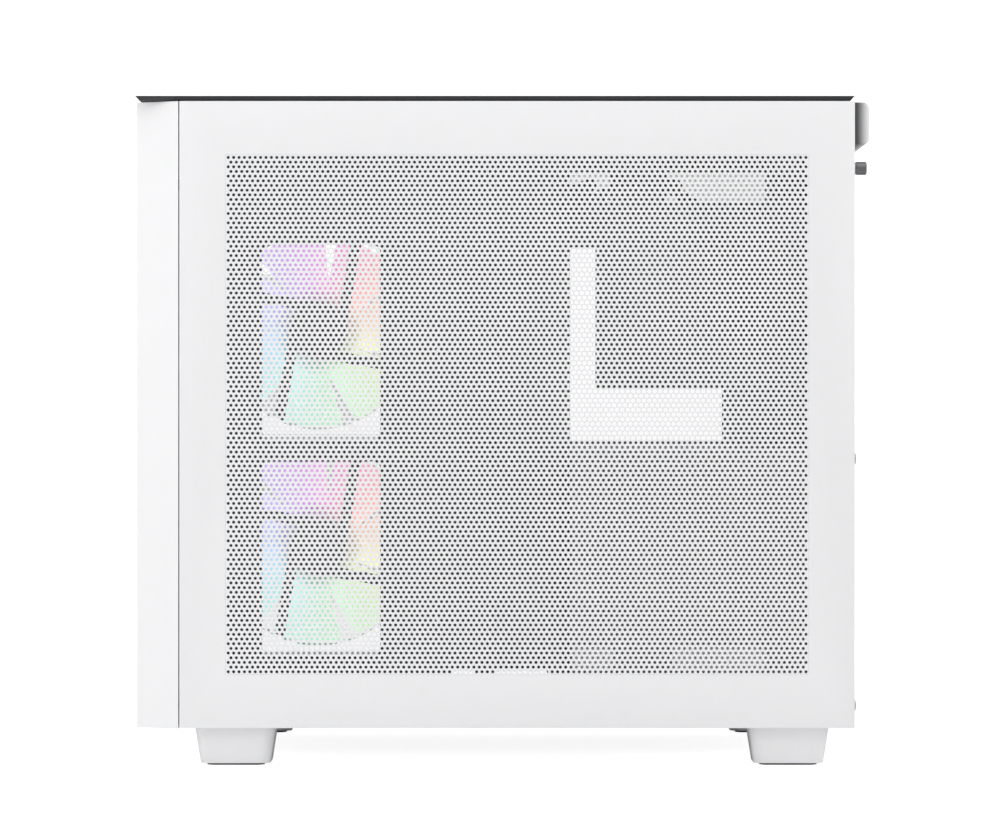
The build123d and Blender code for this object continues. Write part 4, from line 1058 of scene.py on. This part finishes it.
# ---- the perforated side panel ----
@dataclass
class PerforatedPanel:
    """Folded steel side panel with its staggered field of round holes."""

    wardrobe: Wardrobe
    pitch: float = 3.0 * MM
    hole: float = 0.88 * MM
    sheet: float = 1.0 * MM
    columns: int = 107
    pairs: int = 55
    hem: float = 1.5 * MM
    flange: float = 11.0 * MM
    bands: int = 3
    merge: float = 0.02 * MM
    fold_edge: float = 0.35 * MM
    stud_radius: float = 2.5 * MM
    stud_edge: float = 0.6 * MM
    stud_from_front: float = 35.4 * MM
    stud_from_supply: float = 20.0 * MM
    stud_above_floor: float = 23.2 * MM
    stud_above_rim: float = 8.0 * MM
    body: str = "mesh_panel_body"

    def __post_init__(self) -> None:
        """Works out the panel's planes from its node."""
        self.low, self.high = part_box("mesh_panel")
        self.rise = self.pitch * math.sqrt(3)
        self.width = self.columns * self.pitch
        self.height = self.pairs * self.rise
        self.face = self.high.x
        self.middle_y = (self.low.y + self.high.y) / 2
        self.middle_z = (self.low.z + self.high.z) / 2
        self.field_low_y = self.middle_y - self.width / 2
        self.field_low_z = self.middle_z - self.height / 2

    def cell(
        self, name: str, corner: Point, size: Point, holes: Sequence[Point], open_sides: Sequence[Side] = ()
    ) -> Piece:
        """Makes one small plate of the field, with its holes cut and its joining sides open.

        Args:
            name: The plate's name.
            corner: Its lowest corner, along the depth and up.
            size: Its size along the depth and up.
            holes: Centres of the holes, as offsets along the depth and up.
            open_sides: Sides at which the next cell joins on.

        Returns:
            The plate.
        """
        y, z = corner
        plate = block(name, (self.face - self.sheet, y, z), (self.face, y + size[0], z + size[1]))
        for u, v in holes:
            centre = (self.face - self.sheet / 2, y + u, z + v)
            punch = drum("punch", centre, self.hole, 4 * self.sheet, Side.RIGHT, sides=8)
            cut(plate, punch)
        drop_faces(plate, open_sides)
        return plate

    def field_bands(self) -> list[Piece]:
        """Builds the holes' field in a few bands.

        Returns:
            The bands.
        """
        made = []
        first = 0
        for band in range(self.bands):
            rows = self.pairs // self.bands + (1 if band < self.pairs % self.bands else 0)
            corners = [(u, v) for u in (0, self.pitch) for v in (0, self.rise)]
            holes = [(self.pitch / 2, self.rise / 2)] + corners
            corner = (self.field_low_y, self.field_low_z + first * self.rise)
            name = f"side_panel_field_{band + 1}"
            plate = self.cell(name, corner, (self.pitch, self.rise), holes, ENDS + TOP_AND_BOTTOM)
            repeated(plate, self.columns, (0, self.pitch, 0), self.merge)
            repeated(plate, rows, (0, 0, self.rise), self.merge)
            made.append(closed(plate))
            first += rows
        return made

    def hems(self) -> Piece:
        """Builds the four strips that close the field's outermost half holes.

        Returns:
            The strips as one piece.
        """
        below, above = self.field_low_z - self.hem, self.field_low_z + self.height
        before, behind = self.field_low_y - self.hem, self.field_low_y + self.width
        strips = []
        for z, v in ((below, self.hem), (above, 0.0)):
            holes = [(0.0, v), (self.pitch, v)]
            strip = self.cell("strip", (self.field_low_y, z), (self.pitch, self.hem), holes, ENDS)
            strips.append(closed(repeated(strip, self.columns, (0, self.pitch, 0), self.merge)))
        for y, u in ((before, self.hem), (behind, 0.0)):
            holes = [(u, 0.0), (u, self.rise)]
            strip = self.cell("strip", (y, self.field_low_z), (self.hem, self.rise), holes, TOP_AND_BOTTOM)
            strips.append(closed(repeated(strip, self.pairs, (0, 0, self.rise), self.merge)))
        for y, u in ((before, self.hem), (behind, 0.0)):
            for z, v in ((below, self.hem), (above, 0.0)):
                strips.append(self.cell("corner", (y, z), (self.hem, self.hem), [(u, v)]))
        return joined("side_panel_hems", strips)

    def pan(self) -> Piece:
        """Builds the folded border round the field.

        Returns:
            The border.
        """
        inner = (self.face - self.flange, self.low.y, self.low.z)
        shell = block("side_panel_border", inner, tuple(self.high))
        drop_faces(shell, (Side.LEFT,))
        modify(shell, "SOLIDIFY", thickness=self.sheet, offset=-1, use_even_offset=True)
        low_y, low_z = self.field_low_y - self.hem, self.field_low_z - self.hem
        high_y, high_z = low_y + self.width + 2 * self.hem, low_z + self.height + 2 * self.hem
        low = (self.face - 3 * self.sheet, low_y, low_z)
        cut(shell, block("window", low, (self.face + self.sheet, high_y, high_z)))
        return soften(shell, self.fold_edge, segments=3)

    def studs(self) -> Piece:
        """Builds the four snap studs behind the border.

        Returns:
            The studs as one piece.
        """
        reach = self.face - self.sheet - self.low.x
        supply_front = frame_edge("supply_shell", "y", high=False)
        floor = frame_edge("floor_pan", "z", high=False)
        rim = frame_edge("top_frame", "z", high=False)
        made = []
        for y in (self.low.y + self.stud_from_front, supply_front - self.stud_from_supply):
            for z in (floor + self.stud_above_floor, rim + self.stud_above_rim):
                centre = (self.low.x + reach / 2, y, z)
                stud = drum("stud", centre, self.stud_radius, reach, Side.RIGHT, sides=24)
                made.append(soften(stud, self.stud_edge, segments=3))
        return joined("side_panel_studs", made)

    def build(self) -> None:
        """Builds the panel and lets it stand for its node."""
        steel = self.wardrobe.materials["painted_steel"]
        for piece in self.field_bands() + [self.hems(), self.pan(), self.studs()]:
            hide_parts("mesh_panel")
            wear(piece, steel, self.body)


# ---- small parts on the main board ----
@dataclass
class BoardParts:
    """Coils, capacitors and chips that stand on the main board's face."""

    wardrobe: Wardrobe
    body: str = "chassis"
    coil: float = 9.0 * MM
    coil_gap: float = 2.5 * MM
    coil_count: int = 6
    coil_from_heatsink: float = 2.0 * MM
    coil_drop: float = 98.0 * MM
    can_radius: float = 3.2 * MM
    can_height: float = 9.0 * MM
    can_count: int = 5
    can_from_edge: tuple[float, float] = (98.0 * MM, 10.0 * MM)
    chip_height: float = 1.2 * MM
    chip_places: tuple[tuple[int, int, int, int], ...] = (
        (84, 132, 10, 10), (104, 134, 7, 7), (60, 76, 8, 12), (196, 26, 9, 9), (180, 14, 12, 6),
    )

    def __post_init__(self) -> None:
        """Finds the board's face and edges."""
        self.low, self.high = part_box("motherboard_pcb")
        self.face = self.low.x
        self.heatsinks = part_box("board_heatsinks")

    def coils(self) -> Piece:
        """Builds the row of square coils between the regulator's heatsink and the socket.

        Returns:
            The coils as one piece.
        """
        y = self.heatsinks[1].y + self.coil_from_heatsink
        z = self.heatsinks[1].z - self.coil_drop
        low = (self.face - 0.7 * self.coil, y, z)
        first = block("coil", low, (self.face, y + 0.9 * self.coil, z + self.coil))
        pick_faces(first, lambda face: face.normal.x < -0.9)
        bpy.ops.mesh.inset(thickness=1.2 * MM)
        bpy.ops.transform.translate(value=(-0.5 * MM, 0, 0))
        bpy.ops.object.mode_set(mode="OBJECT")
        soften(first, 0.6 * MM, segments=2)
        repeated(first, self.coil_count, (0, 0, self.coil + self.coil_gap))
        first.name = "board_coils"
        return first

    def cans(self) -> Piece:
        """Builds a row of round capacitors along the board's lower edge.

        Returns:
            The capacitors as one piece.
        """
        y, z = self.can_from_edge
        centre = (self.face - self.can_height / 2, self.low.y + y, self.low.z + z)
        can = drum("capacitor", centre, self.can_radius, self.can_height, Side.LEFT, sides=20)
        pick_faces(can, lambda face: face.normal.x < -0.9)
        bpy.ops.mesh.inset(thickness=0.5 * MM)
        bpy.ops.transform.translate(value=(0.4 * MM, 0, 0))
        bpy.ops.object.mode_set(mode="OBJECT")
        soften(can, 0.3 * MM, segments=2)
        repeated(can, self.can_count, (0, 3 * self.can_radius, 0))
        can.name = "board_capacitors"
        return can

    def chips(self) -> Piece:
        """Builds flat chips on free places of the board, each given by its place and size in mm.

        Returns:
            The chips as one piece.
        """
        made = []
        for y, z, wide, tall in self.chip_places:
            corner = (self.face - self.chip_height, self.low.y + y * MM, self.low.z + z * MM)
            chip = block("chip", corner, (self.face, corner[1] + wide * MM, corner[2] + tall * MM))
            made.append(soften(chip, 0.25 * MM, segments=2))
        return joined("board_chips", made)

    def build(self) -> None:
        """Builds the parts and dresses them."""
        made = ((self.coils(), "drive_case"), (self.cans(), "plated_steel"), (self.chips(), "socket_plastic"))
        for piece, slot in made:
            wear(piece, self.wardrobe.materials[slot], self.body)


# ---- feet ----
@dataclass
class Feet:
    """Four tapered moulded feet with rounded corners and a plug above each."""

    wardrobe: Wardrobe
    node: str = "feet"
    body: str = "chassis"
    corner: float = 7.0 * MM
    size_x: float = 40.0 * MM
    size_y: float = 45.0 * MM
    edge: float = 0.9 * MM
    plug_inset: float = 8.0 * MM
    plug_height: float = 2.5 * MM
    sole_inset: float = 1.6 * MM
    sole_depth: float = 0.3 * MM
    draft: float = 0.153

    def one(self, name: str, low: Vector, high: Vector, ground: float) -> Piece:
        """Builds one foot inside a box.

        Args:
            name: The foot's name.
            low: Lowest corner of its upper outline.
            high: Highest corner of its upper outline.
            ground: Height of its lower face.

        Returns:
            The foot.
        """
        foot = block(name, (low.x, low.y, ground), (high.x, high.y, high.z))
        pick_edges(foot, lambda first, second: abs(first.z - second.z) > MM)
        bpy.ops.mesh.bevel(offset=self.corner, segments=8, affect="EDGES")
        bpy.ops.object.mode_set(mode="OBJECT")
        taper = (high.z - ground) * self.draft
        pick_faces(foot, lambda face: face.normal.z < -0.9)
        middle = ((low.x + high.x) / 2, (low.y + high.y) / 2, ground)
        shrink = (1 - 2 * taper / (high.x - low.x), 1 - 2 * taper / (high.y - low.y), 1)
        bpy.ops.transform.resize(value=shrink, center_override=middle)
        bpy.ops.mesh.inset(thickness=self.sole_inset)
        bpy.ops.transform.translate(value=(0, 0, self.sole_depth))
        bpy.ops.object.mode_set(mode="OBJECT")
        pick_faces(foot, lambda face: face.normal.z > 0.9)
        bpy.ops.mesh.inset(thickness=self.plug_inset)
        bpy.ops.mesh.extrude_region_move(TRANSFORM_OT_translate={"value": (0, 0, self.plug_height)})
        bpy.ops.object.mode_set(mode="OBJECT")
        return soften(foot, self.edge, segments=4, angle=50)

    def build(self) -> None:
        """Builds the four feet and lets them stand for their node."""
        low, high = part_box(self.node)
        top = frame_edge("floor_pan", "z", high=False)
        ground = low.z
        number = 0
        for x in (low.x, high.x - self.size_x):
            for y in (low.y, high.y - self.size_y):
                number += 1
                corner = Vector((x + self.size_x, y + self.size_y, top))
                foot = self.one(f"foot_{number}", Vector((x, y, ground)), corner, ground)
                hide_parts(self.node)
                wear(foot, self.wardrobe.materials["foot_moulding"], self.body)


# ---- studio ----
@dataclass
class Studio:
    """Pale floor, soft lamps and the camera."""

    distance: float = 2.25
    aim: tuple[float, float] = (-0.0032, 0.1946)
    lens: float = 145.8
    sensor: float = 36.0
    floor_size: float = 9.0
    wall_height: float = 5.0
    cove: float = 1.2
    floor_glow: float = 0.9
    sky: float = 0.48
    panel_middle: Place = (0.14, 0.0, 0.2)
    tower_middle: Place = (0.0, 0.0, 0.2)
    lamps: tuple[tuple[str, Place, tuple[float, float], float], ...] = (
        ("lamp_top", (0.75, 0.0, 1.35), (1.2, 1.6), 7.5),
        ("lamp_front", (0.85, -1.5, 0.45), (1.0, 1.2), 9.0),
        ("lamp_back", (0.62, 1.6, 0.45), (1.0, 1.2), 8.5),
        ("lamp_left", (-1.6, -0.5, 0.9), (1.2, 1.2), 7.0),
    )

    def floor(self) -> None:
        """Lays a pale floor that turns up into a wall far behind the tower."""
        clear()
        bpy.ops.mesh.primitive_plane_add(size=self.floor_size, location=(0, 0, 0))
        ground = bpy.context.object
        pick_edges(ground, lambda first, second: max(first.x, second.x) < 0)
        bpy.ops.mesh.extrude_region_move(TRANSFORM_OT_translate={"value": (0, 0, self.wall_height)})
        bpy.ops.object.mode_set(mode="OBJECT")
        modify(ground, "BEVEL", width=self.cove, segments=12, limit_method="ANGLE")
        only(ground)
        bpy.ops.object.shade_smooth()
        settle(ground, "studio_floor")
        material, tree, shader = blank("studio_floor")
        shader.inputs["Base Color"].default_value = (0.9, 0.9, 0.9, 1)
        shader.inputs["Roughness"].default_value = 0.9
        shader.inputs["Specular IOR Level"].default_value = 0.1
        shader.inputs["Emission Color"].default_value = (1, 1, 1, 1)
        path = tree.nodes.new("ShaderNodeLightPath")
        seen = compute(tree, "MULTIPLY", path.outputs["Is Camera Ray"], self.floor_glow)
        feed(tree, shader.inputs["Emission Strength"], seen)
        ground.data.materials.append(material)

    def lamp(self, name: str, place: Place, size: tuple[float, float], power: float) -> None:
        """Adds a soft rectangular lamp that faces the tower.

        Args:
            name: The lamp's name.
            place: Where it hangs.
            size: Its width and height.
            power: Its power in watts.
        """
        light = bpy.data.lights.new(name, "AREA")
        light.shape = "RECTANGLE"
        light.size, light.size_y = size
        light.energy = power
        holder = bpy.data.objects.new(name, light)
        bpy.context.collection.objects.link(holder)
        holder.location = place
        aim = Vector(self.panel_middle if place[0] > 0 else self.tower_middle) - Vector(place)
        holder.rotation_euler = aim.to_track_quat("-Z", "Y").to_euler()

    def camera(self) -> None:
        """Places the camera level with the panel's middle, looking at the perforated side."""
        lens = bpy.data.cameras.new("camera")
        lens.lens = self.lens
        lens.sensor_width = self.sensor
        lens.clip_start = 0.05
        eye = bpy.data.objects.new("camera", lens)
        bpy.context.collection.objects.link(eye)
        eye.location = (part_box("mesh_panel")[1].x + self.distance, *self.aim)
        eye.rotation_euler = (math.pi / 2, 0, math.pi / 2)
        bpy.context.scene.camera = eye

    def world(self) -> None:
        """Surrounds the set with even light that reads white behind the tower."""
        world = bpy.data.worlds.new("studio")
        world.use_nodes = True
        tree = world.node_tree
        back = tree.nodes["Background"]
        back.inputs["Color"].default_value = (1, 1, 1, 1)
        path = tree.nodes.new("ShaderNodeLightPath")
        level = tree.nodes.new("ShaderNodeMapRange")
        level.inputs["To Min"].default_value = self.sky
        level.inputs["To Max"].default_value = 1.0
        tree.links.new(path.outputs["Is Camera Ray"], level.inputs["Value"])
        tree.links.new(level.outputs["Result"], back.inputs["Strength"])
        bpy.context.scene.world = world

    def build(self) -> None:
        """Sets up the studio."""
        scene = bpy.context.scene
        scene.view_settings.view_transform = "Standard"
        scene.view_settings.look = "None"
        self.world()
        self.floor()
        for name, place, size, power in self.lamps:
            self.lamp(name, place, size, power)
        self.camera()


def main() -> None:
    """Builds the tower's looks in order."""
    logging.basicConfig(level=logging.INFO, format="%(name)s: %(message)s")
    wardrobe = Wardrobe()
    wardrobe.dress()
    PerforatedPanel(wardrobe).build()
    Feet(wardrobe).build()
    BoardParts(wardrobe).build()
    Studio().build()


if __name__ == "__main__":
    main()
